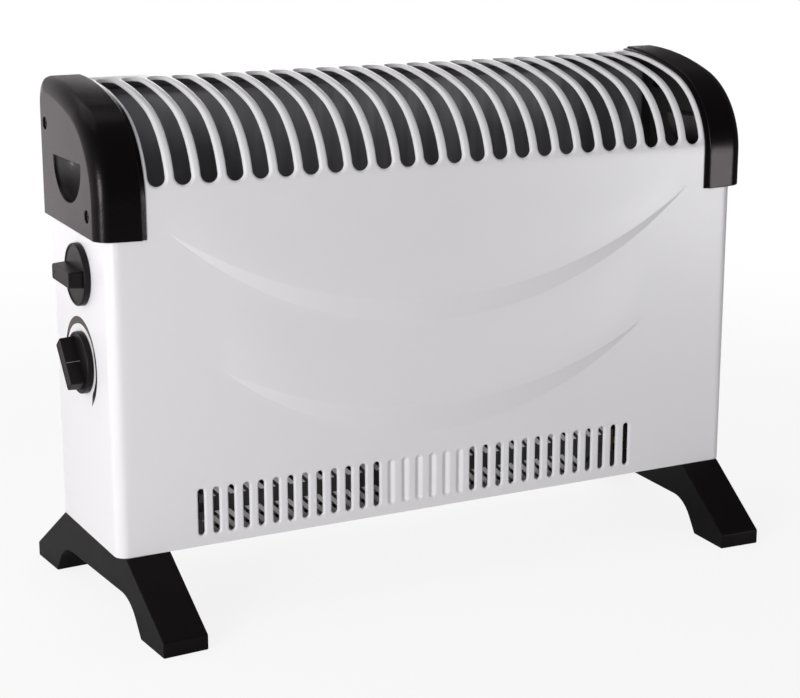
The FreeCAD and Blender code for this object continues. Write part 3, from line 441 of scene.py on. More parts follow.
class Socket:
    """A socket of a node tree; arithmetic on it adds the Math nodes for it."""

    def __init__(self, tree, socket):
        self.tree, self.socket = tree, socket

    def node(self, kind, settings=None, inputs=None, out=0):
        """Adds a node: its settings first, then the values or links of its sockets."""
        made = self.tree.nodes.new(kind)
        for key, value in (settings or {}).items():
            setattr(made, key, value)
        for key, value in (inputs or {}).items():
            if isinstance(value, Socket):
                self.tree.links.new(value.socket, made.inputs[key])
            else:
                made.inputs[key].default_value = value
        return Socket(self.tree, made.outputs[out])

    def maths(self, operation, a, b):
        return self.node("ShaderNodeMath", {"operation": operation}, {0: a, 1: b})

    def __add__(self, other):
        return self.maths("ADD", self, other)

    def __sub__(self, other):
        return self.maths("SUBTRACT", self, other)

    def __rsub__(self, other):
        return self.maths("SUBTRACT", other, self)

    def __mul__(self, other):
        return self.maths("MULTIPLY", self, other)

    __radd__, __rmul__ = __add__, __mul__

    def ease(self, low, high):
        """0 below low, 1 above high, smooth between."""
        return self.node("ShaderNodeMapRange", {"interpolation_type": "SMOOTHSTEP"},
                         {0: self, 1: low, 2: high})

    def noise(self, scale, detail, stretch=(1, 1, 1)):
        there = self.node("ShaderNodeVectorMath", {"operation": "MULTIPLY"},
                          {0: self, 1: stretch})
        return there.node("ShaderNodeTexNoise", None,
                          {"Vector": there, "Scale": scale, "Detail": detail})

    def axis(self, index):
        return self.node("ShaderNodeSeparateXYZ", None, {0: self}, out=index)

    def blend(self, a, b):
        """Colour a where this is 0, colour b where it is 1."""
        return self.node("ShaderNodeMix", {"data_type": "RGBA"}, {0: self, 6: a, 7: b}, out=2)

    def bump(self, strength, distance):
        return self.node("ShaderNodeBump", None,
                         {"Strength": strength, "Distance": distance, "Height": self})


def rgba(tone, factor=1.0):
    return (*[min(1.0, part * factor) for part in tone], 1.0)


def found(tree, kind, output):
    """An output of a new input node, such as coordinates or the light path."""
    return Socket(tree, tree.nodes.new(kind).outputs[output])


def new_finish(name):
    """A new material with its shader and the piece's own coordinates."""
    material = bpy.data.materials.new(name)
    material.use_nodes = True
    tree = material.node_tree
    return material, tree.nodes["Principled BSDF"], found(tree, "ShaderNodeTexCoord", "Object")


def second_coat(material):
    """A finish's shader, its base colour so far and its coordinates, for one more colour."""
    tree = material.node_tree
    shader = tree.nodes["Principled BSDF"]
    first = Socket(tree, shader.inputs["Base Color"].links[0].from_socket)
    return shader, first, found(tree, "ShaderNodeTexCoord", "Object")


def feed(shader, **inputs):
    """Sets or links the shader's sockets; underscores stand for spaces."""
    for key, value in inputs.items():
        target = shader.inputs[key.replace("_", " ")]
        if isinstance(value, Socket):
            value.tree.links.new(value.socket, target)
        else:
            target.default_value = value


def powder_coat(name, tone):
    """White powder coat: faint clouding and a fine orange-peel skin."""
    material, shader, place = new_finish(name)
    cloud, peel = place.noise(11, 3), place.noise(620, 2)
    feed(shader, Base_Color=cloud.blend(rgba(tone, 0.985), rgba(tone, 1.01)),
         Roughness=0.27 + 0.08 * cloud, Normal=peel.bump(0.10, 0.0002), Specular_IOR_Level=0.4)
    return material


def shade_inner_face(material, depth, tone):
    """Painted shade: grey on the inner face of the rear panel, in front of the given depth."""
    shader, coat, place = second_coat(material)
    behind = place.axis(1).ease(depth, depth + 0.0002)
    feed(shader, Base_Color=behind.blend(rgba(tone), coat))


def moulded(name, tone, grain, depth, rough, gloss=0.17):
    """Moulded plastic: spark-eroded grain, slightly uneven sheen."""
    material, shader, place = new_finish(name)
    cloud, pits = place.noise(26, 3), place.noise(grain, 3)
    feed(shader, Base_Color=cloud.blend(rgba(tone, 0.85), rgba(tone, 1.15)),
         Roughness=rough + 0.08 * cloud + 0.06 * pits, Normal=pits.bump(depth, 0.0002),
         Specular_IOR_Level=gloss, Specular_Tint=(1, 0.88, 0.92, 1))
    return material


def recess_light(material, sizes, tone):
    """Painted light: paler plastic inside the hand recesses, standing in for the light that falls
    into them, most of all under their upper edge.
    """
    shader, plain, place = second_coat(material)
    radius, side = sizes.recess_radius, sizes.cap_out
    out, aside = place.axis(0), place.axis(1) - RECESS_MIDDLE
    high = place.axis(2) - sizes.recess_top
    near = 1 - (aside * aside + high * high).ease((radius - 0.0005) ** 2, (radius + 0.001) ** 2)
    deep = 1 - (out * out).ease((side - 0.004) ** 2, (side - 0.0008) ** 2)
    # Painted light, strongest under the recess's upper edge
    lit_under_edge = 0.22 + 0.78 * high.ease(-0.022, -0.003)
    feed(shader, Base_Color=(near * deep * lit_under_edge).blend(plain, rgba(tone)))


def metal(name, tone, rough, scale, lines=(1, 1, 1), spread=0.1, bare=1.0, shade_behind=None):
    """Metal with rolling or drawing lines along the short stretch.

    Behind the two given depths it is painted as good as black: painted shade.
    """
    material, shader, place = new_finish(name)
    marks, cloud = place.noise(scale, 3, lines), place.noise(45, 3)
    mottle = (marks * 0.6 + cloud * 0.4).blend(rgba(tone, 1 - spread), rgba(tone, 1 + spread))
    # Painted shade: as good as black behind the given depths
    if shade_behind:
        mottle = place.axis(1).ease(*shade_behind).blend(mottle, rgba(tone, 0.01))
    feed(shader, Base_Color=mottle, Roughness=rough + 0.16 * marks, Metallic=bare,
         Normal=marks.bump(0.12, 0.0001))
    return material


def board(name, tone, scale=260, rough=0.7):
    """Mica board, unglazed ceramic, phenolic, and the painted shade of the case's inner faces:
    mottled, dry.
    """
    material, shader, place = new_finish(name)
    flecks, cloud = place.noise(scale, 4), place.noise(30, 2)
    mottle = flecks * 0.7 + cloud * 0.3
    feed(shader, Base_Color=mottle.blend(rgba(tone, 0.75), rgba(tone, 1.25)),
         Roughness=rough + 0.15 * flecks, Normal=flecks.bump(0.2, 0.0002))
    return material


def dark_sheet(name, tone):
    """Dark satin sheet with upright rolling streaks.

    It is painted darker along its upper fold, as shade, and paler at its left end, as painted
    light.
    """
    material, shader, place = new_finish(name)
    streak, cloud = place.noise(60, 3, (1, 1, 0.08)), place.noise(14, 3)
    # Painted shade along the upper fold
    fold_shade = 1 - 0.75 * place.axis(2).ease(0.355, 0.360)
    mottle = (streak * 0.7 + cloud * 0.3).ease(0.3, 0.75)
    # Painted light: paler at the left end, where the sheet lies in shade
    left_light = 0.8 * (1 - place.axis(0).ease(-0.19, -0.10)) * fold_shade
    shaded_streaks = (mottle * fold_shade).blend(rgba(tone, 0.6), rgba(tone, 1.5))
    feed(shader, Base_Color=left_light.blend(shaded_streaks, rgba(tone, 2.4)),
         Roughness=0.42 + 0.2 * streak, Normal=streak.bump(0.08, 0.0002))
    return material


# Case

def slot_cell(name, pitch, low, high, width, steps, through):
    """One pitch of flat sheet, X across and Y up, with a slot whose rim goes down in steps."""
    sides = 28
    spread = sum(step for step, _ in steps)
    radius = width / 2 + spread
    margin = (pitch - 2 * radius) / 2
    centre, tall = (low + high) / 2, high - low + 2 * spread + 2 * margin
    piece = started(name, bpy.ops.mesh.primitive_circle_add, vertices=sides, fill_type="NOTHING",
                    radius=radius / math.cos(math.pi / sides), rotation=(0, 0, math.pi / sides),
                    location=(0, low + width / 2, 0))
    settle(piece)
    edit(piece)
    pick("VERT", lambda v: v.co.y > low + width / 2)
    push(0, high - low - width, 0)
    bpy.ops.mesh.primitive_plane_add(size=1, location=(0, centre, 0))
    bpy.ops.transform.resize(value=(pitch, tall, 1), center_override=(0, centre, 0))
    bpy.ops.mesh.delete(type="ONLY_FACE")
    bpy.ops.mesh.select_mode(type="EDGE")
    select_all()
    bpy.ops.mesh.fill(use_beauty=True)
    pick_edges(lambda p: abs(p.x) < radius + margin / 2 and abs(p.y - centre) < (tall - margin) / 2,
               rim=True)
    bpy.ops.mesh.edge_face_add()
    mesh = bmesh.from_edit_mesh(piece.data)
    for face in mesh.faces:
        face.normal_update()
        if face.normal.z < 0:
            face.normal_flip()
    bmesh.update_edit_mesh(piece.data)
    pick("FACE", lambda f: len(f.verts) == sides)
    for step, down in steps:
        bpy.ops.mesh.inset(thickness=step, depth=-down, use_even_offset=True)
    if through:
        bpy.ops.mesh.delete(type="FACE")
    object_mode()
    return piece


def rolled_steps(hold, roll, wall, turns):
    """Inset steps of a rolled rim: a flat hold, a quarter round and a short upright wall."""
    angles = [math.pi / 2 * k / turns for k in range(turns + 1)]
    draft = 0.00002  # keeps the wall just off upright, so that the inset has a width
    steps = [(hold, 0)]
    for a, b in zip(angles, angles[1:]):
        steps.append((roll * (math.sin(b) - math.sin(a)), roll * (math.cos(a) - math.cos(b))))
    return steps + [(draft, wall)]


def slot_row(cell, count, pitch, first):
    """A row of like cells, the first one in its place, with their seams merged."""
    repeated(cell, count, pitch, use_merge_vertices=True, merge_threshold=TINY)
    shifted(cell, first)
    return cell


def top_sheet(case, section, flat):
    """The blank's upper part, over the knee and the wide arc, with the top slots."""
    lower = section.to_knee + case.knee * math.asin(case.top_rise / case.knee)
    upper = section.whole - section.wide * math.asin(case.top_back / section.wide)
    hold, wall, turns = 0.0004, 0.0003, 4
    steps = rolled_steps(hold, case.top_roll, wall, turns)
    piece = slot_cell("top_sheet", case.top_pitch, lower, upper, case.top_width, steps, True)
    edge = corners(piece)[1].y
    edit(piece)
    pick_edges(lambda p: p.y > edge - TINY)
    pull_edges(0, section.whole - edge, 0)
    # Level cuts, so that the flat cell can follow the curve
    start, levels = section.to_knee + 0.001, 26
    for k in range(1, levels):
        select_all()
        bpy.ops.mesh.bisect(plane_co=(0, start + (section.whole - start) * k / levels, 0),
                            plane_no=(0, 1, 0))
    slot_row(piece, case.top_slots, case.top_pitch, -(case.top_slots - 1) / 2 * case.top_pitch)
    half = corners(piece)[1].x
    edit(piece)
    for side in (-1, 1):
        pick_edges(lambda p: p.x * side > half - TINY)
        pull_edges(side * (flat - half), 0, 0)
    object_mode()
    return piece


def low_sheet(case, flat):
    """The blank's lower part: the blind ribs between two groups of open slots."""
    pitch, low, high = case.low_pitch, case.low_start, case.low_start + case.low_height
    hold, wall, turns = 0.0003, 0.0009, 3
    rim = rolled_steps(hold, case.low_roll, wall, turns)
    # Between the blind ribs lie round grooves that go down to a narrow floor
    groove = [(0.0003, 0), (0.0007, 0.0002), (0.0008, 0.0008), (0.0007, 0.0007),
              (0.0005, 0.0003), (0.0003, 0.0001)]
    floor = 0.0008
    shorter = (case.low_width - floor) / 2
    first = case.low_shift - (2 * case.low_slots + case.blind_ribs - 1) / 2 * pitch
    groups = []
    for count, through in ((case.low_slots, True), (case.blind_ribs, False),
                           (case.low_slots, True)):
        if through:
            cell = slot_cell("low_sheet", pitch, low, high, case.low_width, rim, True)
        else:
            cell = slot_cell("low_sheet", pitch, low + shorter, high - shorter, floor, groove,
                             False)
        groups.append(slot_row(cell, count, pitch, first))
        first += count * pitch
    piece = joined("low_sheet", groups)
    merge(piece, 1e-5)
    near, far = corners(piece)
    edit(piece)
    pick_edges(lambda p: p.x < near.x + TINY)
    pull_edges(-flat - near.x, 0, 0)
    pick_edges(lambda p: p.x > far.x - TINY)
    pull_edges(flat - far.x, 0, 0)
    pick_edges(lambda p: p.y < near.y + TINY)
    pull_edges(0, -near.y, 0)
    object_mode()
    return piece


def crescent_rows(case, section, x):
    """Lower and upper edge, along the sheet, and share of the relief of both crescents at x."""
    rows, thinnest = [], 0.0008
    # How far the tips lie below the knee and in from the side, and how far each edge sags
    for below, inset, outer, inner in ((0.1241, 0.082, 0.064, 0.043),
                                       (0.0231, 0.044, 0.083, 0.064)):
        half, tip = case.half_width - inset, section.to_knee - below
        share = min(1.0, abs(x) / half)
        edges = []
        for sag in (outer, inner):
            radius = (half * half + sag * sag) / (2 * sag)
            edges.append(tip - sag + radius - math.sqrt(radius * radius - (half * share) ** 2))
        edges[1] = max(edges[1], edges[0] + thinnest)
        rows.append((edges[0], edges[1], max(0.0, 1 - share ** 4)))
    return rows


def pressed_strip(case, section, low, high, half):
    """Flat strip of the front with the two pressed crescents, its rows following their edges."""
    columns, plain, band = 150, 6, 10
    counts = [plain, band, plain, band, plain]
    rows = sum(counts)
    piece = started("pressed_strip", bpy.ops.mesh.primitive_grid_add, x_subdivisions=columns,
                    y_subdivisions=rows, size=1)
    for vert in piece.data.vertices:
        x = vert.co.x * 2 * half
        row = round((vert.co.y + 0.5) * rows)
        crescents = crescent_rows(case, section, x)
        levels = [low, *crescents[0][:2], *crescents[1][:2], high]
        start, zone = 0, 0
        while row > start + counts[zone]:
            start += counts[zone]
            zone += 1
        share = (row - start) / counts[zone]
        along = levels[zone] + (levels[zone + 1] - levels[zone]) * share
        rise = 0.0
        if zone in (1, 3):
            rise = share * crescents[zone // 2][2]
        elif zone in (2, 4):
            rise = (1 - share * share * (3 - 2 * share)) * crescents[zone // 2 - 1][2]
        vert.co = (x, along, case.relief * rise)
    return piece


def case_sheet(case):
    """The case's front, top and sides as one flat blank with its slots, then folded."""
    section, flat = Section(case), case.half_width - case.corner
    top, low = top_sheet(case, section, flat), low_sheet(case, flat)
    under, over, seam = corners(low)[1].y, corners(top)[0].y, 0.003
    start, end = under + seam, over - seam
    tip = crescent_rows(case, section, flat)[1][1]
    wing = tip + (end - tip) / 3  # the sides reach up to here, the end caps cover the rest
    front = joined("case_sheet", [pressed_strip(case, section, start, end, flat), low, top])
    edit(front)
    for near, far in ((under, start), (end, over)):
        pick_edges(lambda p: min(abs(p.y - near), abs(p.y - far)) < TINY, rim=True)
        bpy.ops.mesh.bridge_edge_loops()
    arc, deep, under_cap = case.corner * math.pi / 2, 2 * case.half_depth - case.corner, 0.007
    arc_parts, deep_parts = 6, 8
    for side in (-1, 1):
        reach = flat
        for step in [arc / arc_parts] * arc_parts + [deep / deep_parts] * deep_parts:
            pick_edges(lambda p: p.x * side > reach - TINY and p.y < wing + TINY, rim=True)
            pull_edges(side * step, 0, 0)
            reach += step
        pick_edges(lambda p: abs(p.x * side - flat) < TINY and p.y > wing - TINY, rim=True)
        pull_edges(side * under_cap, 0, 0)
    level = 0.0
    for step in (0.0004, 0.0066):  # the fold and the lip that it turns in along the bottom
        pick_edges(lambda p: abs(p.y - level) < TINY, rim=True)
        pull_edges(0, -step, 0)
        level -= step
    object_mode()
    fold(front, case, section, flat, wing)
    return section, front


def fold(front, case, section, flat, wing):
    """Folds the blank along the section, and its sides round the upright corners."""
    arc = case.corner * math.pi / 2
    for vert in front.data.vertices:
        across, along, high = vert.co
        high += min(0.0, along)
        point, normal = section.at(max(0.0, along))
        past = abs(across) - flat
        if past <= 0 or along > wing + TINY:
            vert.co = (across, *(point + normal * high))
        else:
            turn, radius = min(past / case.corner, math.pi / 2), case.corner + high
            x = flat + radius * math.sin(turn)
            y = section.front + case.corner - radius * math.cos(turn) + max(0.0, past - arc)
            vert.co = (math.copysign(x, across), y, point.y)


def hand_recess(sizes, grow, mouth):
    """Half disc that narrows inwards, as a solid to cut or add on the right side."""
    top, narrow, parts = sizes.recess_top + grow, 0.006, 32
    floor_round, short = 0.016, 0.02
    floor = sizes.cap_out - sizes.recess_deep - grow
    angles = [math.pi + math.pi * k / parts for k in range(parts + 1)]
    points = [(RECESS_MIDDLE + math.cos(a), top + math.sin(a)) for a in angles]
    tool = plate("recess", points, 1.0)
    for vert in tool.data.vertices:
        deep = floor if vert.co.x < 0.5 else mouth
        share = (deep - sizes.cap_out + sizes.recess_deep) / sizes.recess_deep
        radius = sizes.recess_radius - narrow * (1 - share) + grow
        vert.co = (deep, RECESS_MIDDLE + (vert.co.y - RECESS_MIDDLE) * radius,
                   top + (vert.co.z - top) * radius)
    edit(tool)
    # Round the floor's edge along the arc, and leave the long straight edge at the top
    pick("EDGE", lambda e: all(v.co.x < floor + TINY for v in e.verts)
         and e.calc_length() < short)
    bevel(floor_round, 12)
    object_mode()
    return tool


def case_side_tops(case, sizes, section):
    """Upper parts of both sides, under the end caps, cut out for the hand recesses."""
    clear, corner, lap, proud = 0.0002, 0.004, 0.0097, 0.00028
    outline = section.cap(-clear, 0, clear, corner, sizes.cap_base + lap)
    right = plate("side_top", outline, case.sheet + proud)
    shifted(right, case.half_width - case.sheet - proud)
    cut(right, hand_recess(sizes, 0.0025, sizes.cap_out))
    return [right, mirrored(right, "left_side_top")]


class HEATER_OT_case(bpy.types.Operator):
    """Folds the slotted case from sheet and paints it"""

    bl_idname = "heater.case"
    bl_label = "Case"

    def execute(self, context):
        case, finish = context.scene.heater_case, context.scene.heater_finish
        section, front = case_sheet(case)
        white = powder_coat("white_powder_coat", finish.paint)
        # Near-black inner faces: painted shade for the inside of the case, seen through the slots
        inner_shade = board("inner_shade_coat", (0.03, 0.029, 0.031), 180)
        tops = case_side_tops(case, context.scene.heater_fittings, section)
        for piece in (front, *tops):
            piece.data.materials.append(white)
            piece.data.materials.append(inner_shade)
        modify(front, "SOLIDIFY", thickness=case.sheet, offset=-1, use_even_offset=True,
               material_offset=1)
        # The side tops under the caps take the painted shade all over
        for piece in tops:
            for face in piece.data.polygons:
                face.material_index = 1
        front = joined("case_front", [*tops, front])
        smoothed(front, 34)
        dress(front, "case", "white_paint", None, "front_panel")
        # White outside, with painted shade on the inner face seen through the top slots
        back = powder_coat("rear_powder_coat", finish.paint)
        inner_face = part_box("rear_panel")[1].y - case.sheet * 0.6
        shade_inner_face(back, inner_face, (0.15, 0.146, 0.152))
        paint(frame["nodes"]["rear_panel"], back)
        return {"FINISHED"}


# Fittings

class HEATER_OT_caps(bpy.types.Operator):
    """Models the end caps with their hand recesses"""

    bl_idname = "heater.caps"
    bl_label = "End caps"

    def execute(self, context):
        case, sizes = context.scene.heater_case, context.scene.heater_fittings
        section = Section(case)
        body, lip = self.body(case, sizes, section), self.lip(case, sizes, section)
        beyond, deep = 0.01, 0.06
        for part in (body, lip):
            core = plate("core", section.outline(sizes.cap_gap, sizes.cap_base - beyond,
                                                 case.half_depth + beyond), deep)
            shifted(core, case.half_width + sizes.cap_gap - deep)
            cut(part, core)
        self.holes(case, sizes, body)
        right = joined("right_cap", [lip, body])
        left = mirrored(right, "left_cap")
        black = moulded("cap_plastic", context.scene.heater_finish.plastic, 800, 0.4, 0.18, 0.16)
        # The hand recesses get painted light: a paler plastic where light falls in
        recess_light(black, sizes, (0.085, 0.078, 0.079))
        for piece, node in ((right, "right_end_cap"), (left, "left_end_cap")):
            smoothed(piece, 34)
            dress(piece, "case", "cap_plastic", black, node)
        return {"FINISHED"}

    def body(self, case, sizes, section):
        """The cap itself, pulled out ring by ring along its rounded outer edge."""
        back, low, inside = case.half_depth, sizes.cap_base, sizes.cap_out - sizes.cap_span
        reach = sizes.cap_out - sizes.cap_round * math.cos(sizes.cap_break)
        outline = section.cap(sizes.cap_over, 0, 0, sizes.cap_corner, low)
        body = plate("cap", outline, reach - inside)
        shifted(body, inside)
        rings, held, drawn = 12, 0.0016, 0.9  # the rear edge stays upright over the held inset
        for k in range(1, rings + 1):
            turn = math.pi / 2 + (sizes.cap_break - math.pi / 2) * k / rings
            x = sizes.cap_out + sizes.cap_round * (math.cos(turn) - math.cos(sizes.cap_break))
            far = corners(body)[1].x
            edit(body)
            pick("FACE", lambda f: f.normal.x > 0.999 and len(f.verts) == len(outline))
            pull_faces(x - far, 0, 0)
            object_mode()
            inset = sizes.cap_round * (1 - math.sin(turn))
            ring = section.cap(sizes.cap_over, inset, max(0, inset - held),
                               sizes.cap_corner + drawn * inset, low)
            taper(body, x, outline, ring)
            outline = ring
        outward, rearward = 0.15, 0.85  # shares of the slant
        for vert in body.data.vertices:
            if vert.co.z < low + TINY:
                share = (outward * (vert.co.x - inside) / sizes.cap_span
                         + rearward * (vert.co.y + back) / (2 * back))
                vert.co.z += sizes.cap_slant * share

        def upper(edge):
            return any(v.co.z >= low + sizes.cap_slant * 1.2 for v in edge.verts)

        edit(body)
        pick("EDGE", lambda e: all(v.co.x < inside + TINY for v in e.verts)
             and upper(e) and middle(e).y < back - TINY)
        bevel(0.0009, 3)
        pick("EDGE", lambda e: not upper(e) and middle(e).x > inside + 0.001
             and middle(e).y < back - TINY and e.calc_face_angle(0) > 1)
        bevel(0.0006, 3)
        object_mode()
        return body

    def lip(self, case, sizes, section):
        """The thin step beside the cap, sloping down to its inner edge."""
        back, low = case.half_depth, sizes.cap_base
        inner = sizes.cap_out - sizes.cap_span - sizes.lip_width
        thick, thin = (section.outline(sizes.lip_over + slope, low, back)
                       for slope in (0.0006, -0.0004))
        lip = plate("cap_lip", thick, sizes.lip_width + 0.001)
        taper(lip, 0, thick, thin)
        shifted(lip, inner)
        edit(lip)
        pick("EDGE", lambda e: all(v.co.x < inner + TINY for v in e.verts)
             and middle(e).z > low + TINY and middle(e).y < back - TINY)
        bevel(0.0007, 4)
        object_mode()
        return lip

    def holes(self, case, sizes, body):
        """The hand recess in its own wall and the recesses over the screws, their edges eased."""
        back, out = case.half_depth, sizes.cap_out
        wall, behind, beyond, sunk = 0.0022, 0.0012, 0.002, 0.0036
        cut(body, hand_recess(sizes, wall, out - behind), "UNION")
        cut(body, hand_recess(sizes, 0.0, out + beyond))
        spots = ((back - 0.0165, case.top - 0.028), (0.0155 - back, sizes.cap_base + 0.0159))
        for y, z in spots:
            cut(body, rod("bore", SCREW_BORE, (out - sunk, y, z), (out + 0.01, y, z), 28))

        def eased(edge):
            slopes = [face.normal.x for face in edge.link_faces]
            return (all(abs(v.co.x - out) < 2 * TINY for v in edge.verts) and len(slopes) == 2
                    and min(slopes) < 0.6 and max(slopes) > 0.99
                    and self.near_hole(sizes, spots, middle(edge)))

        edit(body)
        pick("EDGE", eased)
        bevel(0.0007, 3, clamp=True)
        object_mode()

    def near_hole(self, sizes, spots, point):
        near, top = 0.0004, sizes.recess_top
        if any(math.hypot(point.y - y, point.z - z) < SCREW_BORE + near for y, z in spots):
            return True
        reach = math.hypot(point.y - RECESS_MIDDLE, point.z - top)
        return point.z < top + TINY and reach < sizes.recess_radius + near


class HEATER_OT_feet(bpy.types.Operator):
    """Models the two arched feet"""

    bl_idname = "heater.feet"
    bl_label = "Feet"

    def execute(self, context):
        case, sizes = context.scene.heater_case, context.scene.heater_fittings
        slope, bend, parts = math.radians(55), 0.028, 8  # of the arch's shoulders
        screw_off, blunt = 0.03, math.radians(14)
        heel = sizes.foot_half - sizes.toe_depth
        run, tangent = sizes.arch / math.tan(slope), bend * math.tan(slope / 2)
        points = [(sizes.foot_top, case.base), (sizes.foot_half, sizes.toe_height),
                  (sizes.foot_half, 0), (heel, 0)]
        for k in range(parts + 1):
            a = math.pi / 2 - slope * (1 - k / parts)
            points.append((heel - run - tangent + bend * math.cos(a),
                           sizes.arch - bend + bend * math.sin(a)))
        points += [(-y, z) for y, z in reversed(points)]
        foot = plate("right_foot_shell", points, sizes.foot_width)
        shifted(foot, -sizes.foot_width / 2)
        edit(foot)
        pick("EDGE", lambda e: e.calc_face_angle(0) > blunt and middle(e).z < case.base - TINY)
        bevel(0.001, 3)
        object_mode()
        for y in (-screw_off, screw_off):
            cut(foot, rod("bore", SCREW_BORE, (0, y, 0), (0, y, sizes.arch + 0.005), 24))
        smoothed(foot, 30)
        other = twin(foot, "left_foot_shell")
        black = moulded("foot_plastic", context.scene.heater_finish.plastic, 1700, 0.16, 0.36, 0.15)
        for piece, side, node in ((foot, 1, "right_foot"), (other, -1, "left_foot")):
            turn = Matrix.Rotation(-side * sizes.splay, 4, "Z")
            placed(piece, Matrix.Translation((side * sizes.foot_middle, 0, 0)) @ turn)
            dress(piece, "case", "foot_plastic", black, node)
        return {"FINISHED"}


class HEATER_OT_knobs(bpy.types.Operator):
    """Models the selector and thermostat knobs"""

    bl_idname = "heater.knobs"
    bl_label = "Knobs"

    def execute(self, context):
        case, sizes = context.scene.heater_case, context.scene.heater_fittings
        black = moulded("knob_plastic", context.scene.heater_finish.knob, 2100, 0.10, 0.34, 0.2)
        dark = moulded("knob_pointer", (0.006, 0.006, 0.006), 2100, 0.05, 0.6, 0.2)
        pale = moulded("knob_line", (0.30, 0.29, 0.28), 2100, 0.05, 0.5, 0.3)
        outwards = Matrix(((0, 0, -1, 0), (0, 1, 0, 0), (1, 0, 0, 0), (0, 0, 0, 1)))
        gap = 0.0004
        for name, node, body, turn in (("selector_dial", "selector_knob", "selector", 1.5),
                                       ("thermostat_dial", "thermostat_knob", "thermostat", 51)):
            pieces = [(self.knob(name, sizes), black, [node]),
                      (self.pointer(name + "_pointer", sizes), dark, [])]
            if body == "thermostat":
                pieces.append((self.line(name + "_line", sizes), pale, []))
            spot = Vector((-case.half_width - gap, *JOINTS[body + "_turn"]["pos_m"][1:]))
            rest = Matrix.Rotation(-math.radians(turn), 4, "Z")
            for piece, look, nodes in pieces:
                placed(piece, Matrix.Translation(spot) @ outwards @ rest)
                smoothed(piece, 36)
                dress(piece, body, "knob_plastic", look, *nodes)
        return {"FINISHED"}

    def knob(self, name, sizes):
        """Disc with a shallow dish and a bar grip across it, standing on the XY plane."""
        radius, thick, tall = sizes.knob_radius, sizes.knob_disc, sizes.knob_out
        disc = started(name, bpy.ops.mesh.primitive_cylinder_add, vertices=72, radius=radius,
                       depth=thick, location=(0, 0, thick / 2))
        settle(disc)
        edit(disc)
        pick("FACE", lambda f: f.normal.z > 0.9)
        for step, rise in ((0.0016, 0), (0.0004, -0.0006), (0.006, 0.0004)):
            bpy.ops.mesh.inset(thickness=step, depth=rise)
        pick_edges(lambda p: math.hypot(p.x, p.y) > radius - TINY and p.z > thick - TINY)
        bevel(0.0008, 4)
        wall, hollow = 0.0022, 0.0032
        pick("FACE", lambda f: f.normal.z < -0.9)
        bpy.ops.mesh.inset(thickness=wall, depth=0)
        pull_faces(0, 0, hollow)
        object_mode()

        base, flare, draft = thick - 0.0012, (1.12, 1.02), (0.87, 0.97)
        grip = started("grip", bpy.ops.mesh.primitive_cube_add, size=1,
                       location=(0, 0, (base + tall) / 2))
        grip.scale = (sizes.grip_width * flare[0], sizes.grip_length * flare[1], tall - base)
        settle(grip)
        edit(grip)
        pick("VERT", lambda v: v.co.z > tall - TINY)
        bpy.ops.transform.resize(value=(*draft, 1), center_override=(0, 0, tall))
        pick("EDGE", lambda e: abs(e.verts[0].co.z - e.verts[1].co.z) > 0.004)
        bevel(0.0014, 5)
        pick("FACE", lambda f: f.normal.z > 0.9)
        for step, rise in ((0.0009, 0), (0.0003, -0.0003)):
            bpy.ops.mesh.inset(thickness=step, depth=rise)
        pick("EDGE", lambda e: all(v.co.z > tall - TINY for v in e.verts)
             and e.calc_face_angle(0) > 1)
        bevel(0.0006, 3)
        object_mode()
        cut(disc, grip, "UNION")
        return disc

    def pointer(self, name, sizes):
        """Small outlined arrow in the end of the grip's face."""
        from_end, sunk, size, line, proud = 0.0055, 0.0003, 0.0017, 0.0004, 0.00006
        piece = started(name, bpy.ops.mesh.primitive_circle_add, vertices=3, radius=size,
                        fill_type="NGON", location=(0, sizes.grip_length / 2 - from_end,
                                                    sizes.knob_out - sunk))
        settle(piece)
        edit(piece)
        select_all()
        bpy.ops.mesh.inset(thickness=line, depth=0)
        bpy.ops.mesh.delete(type="FACE")
        select_all()
        pull_faces(0, 0, proud)
        face_out()
        object_mode()
        return piece

    def line(self, name, sizes):
        """Thin pale line down the grip's side."""
        half, aside, proud, thick = 0.00016, -0.0016, 0.0001, 0.0001
        at_top, at_foot, below = 0.487, 0.552, 0.0006  # the grip's half widths, in grip widths
        upper = (sizes.grip_width * at_top + proud, sizes.knob_out - below)
        lower = (sizes.grip_width * at_foot + proud, sizes.knob_disc)
        piece = started(name, bpy.ops.mesh.primitive_plane_add, size=1)
        for vert in piece.data.vertices:
            x, z = upper if vert.co.x < 0 else lower
            vert.co = (x, math.copysign(half, vert.co.y) + aside, z)
        edit(piece)
        select_all()
        bpy.ops.mesh.subdivide(number_cuts=3)
        face_out()
        object_mode()
        modify(piece, "SOLIDIFY", thickness=thick, offset=0)
        return piece


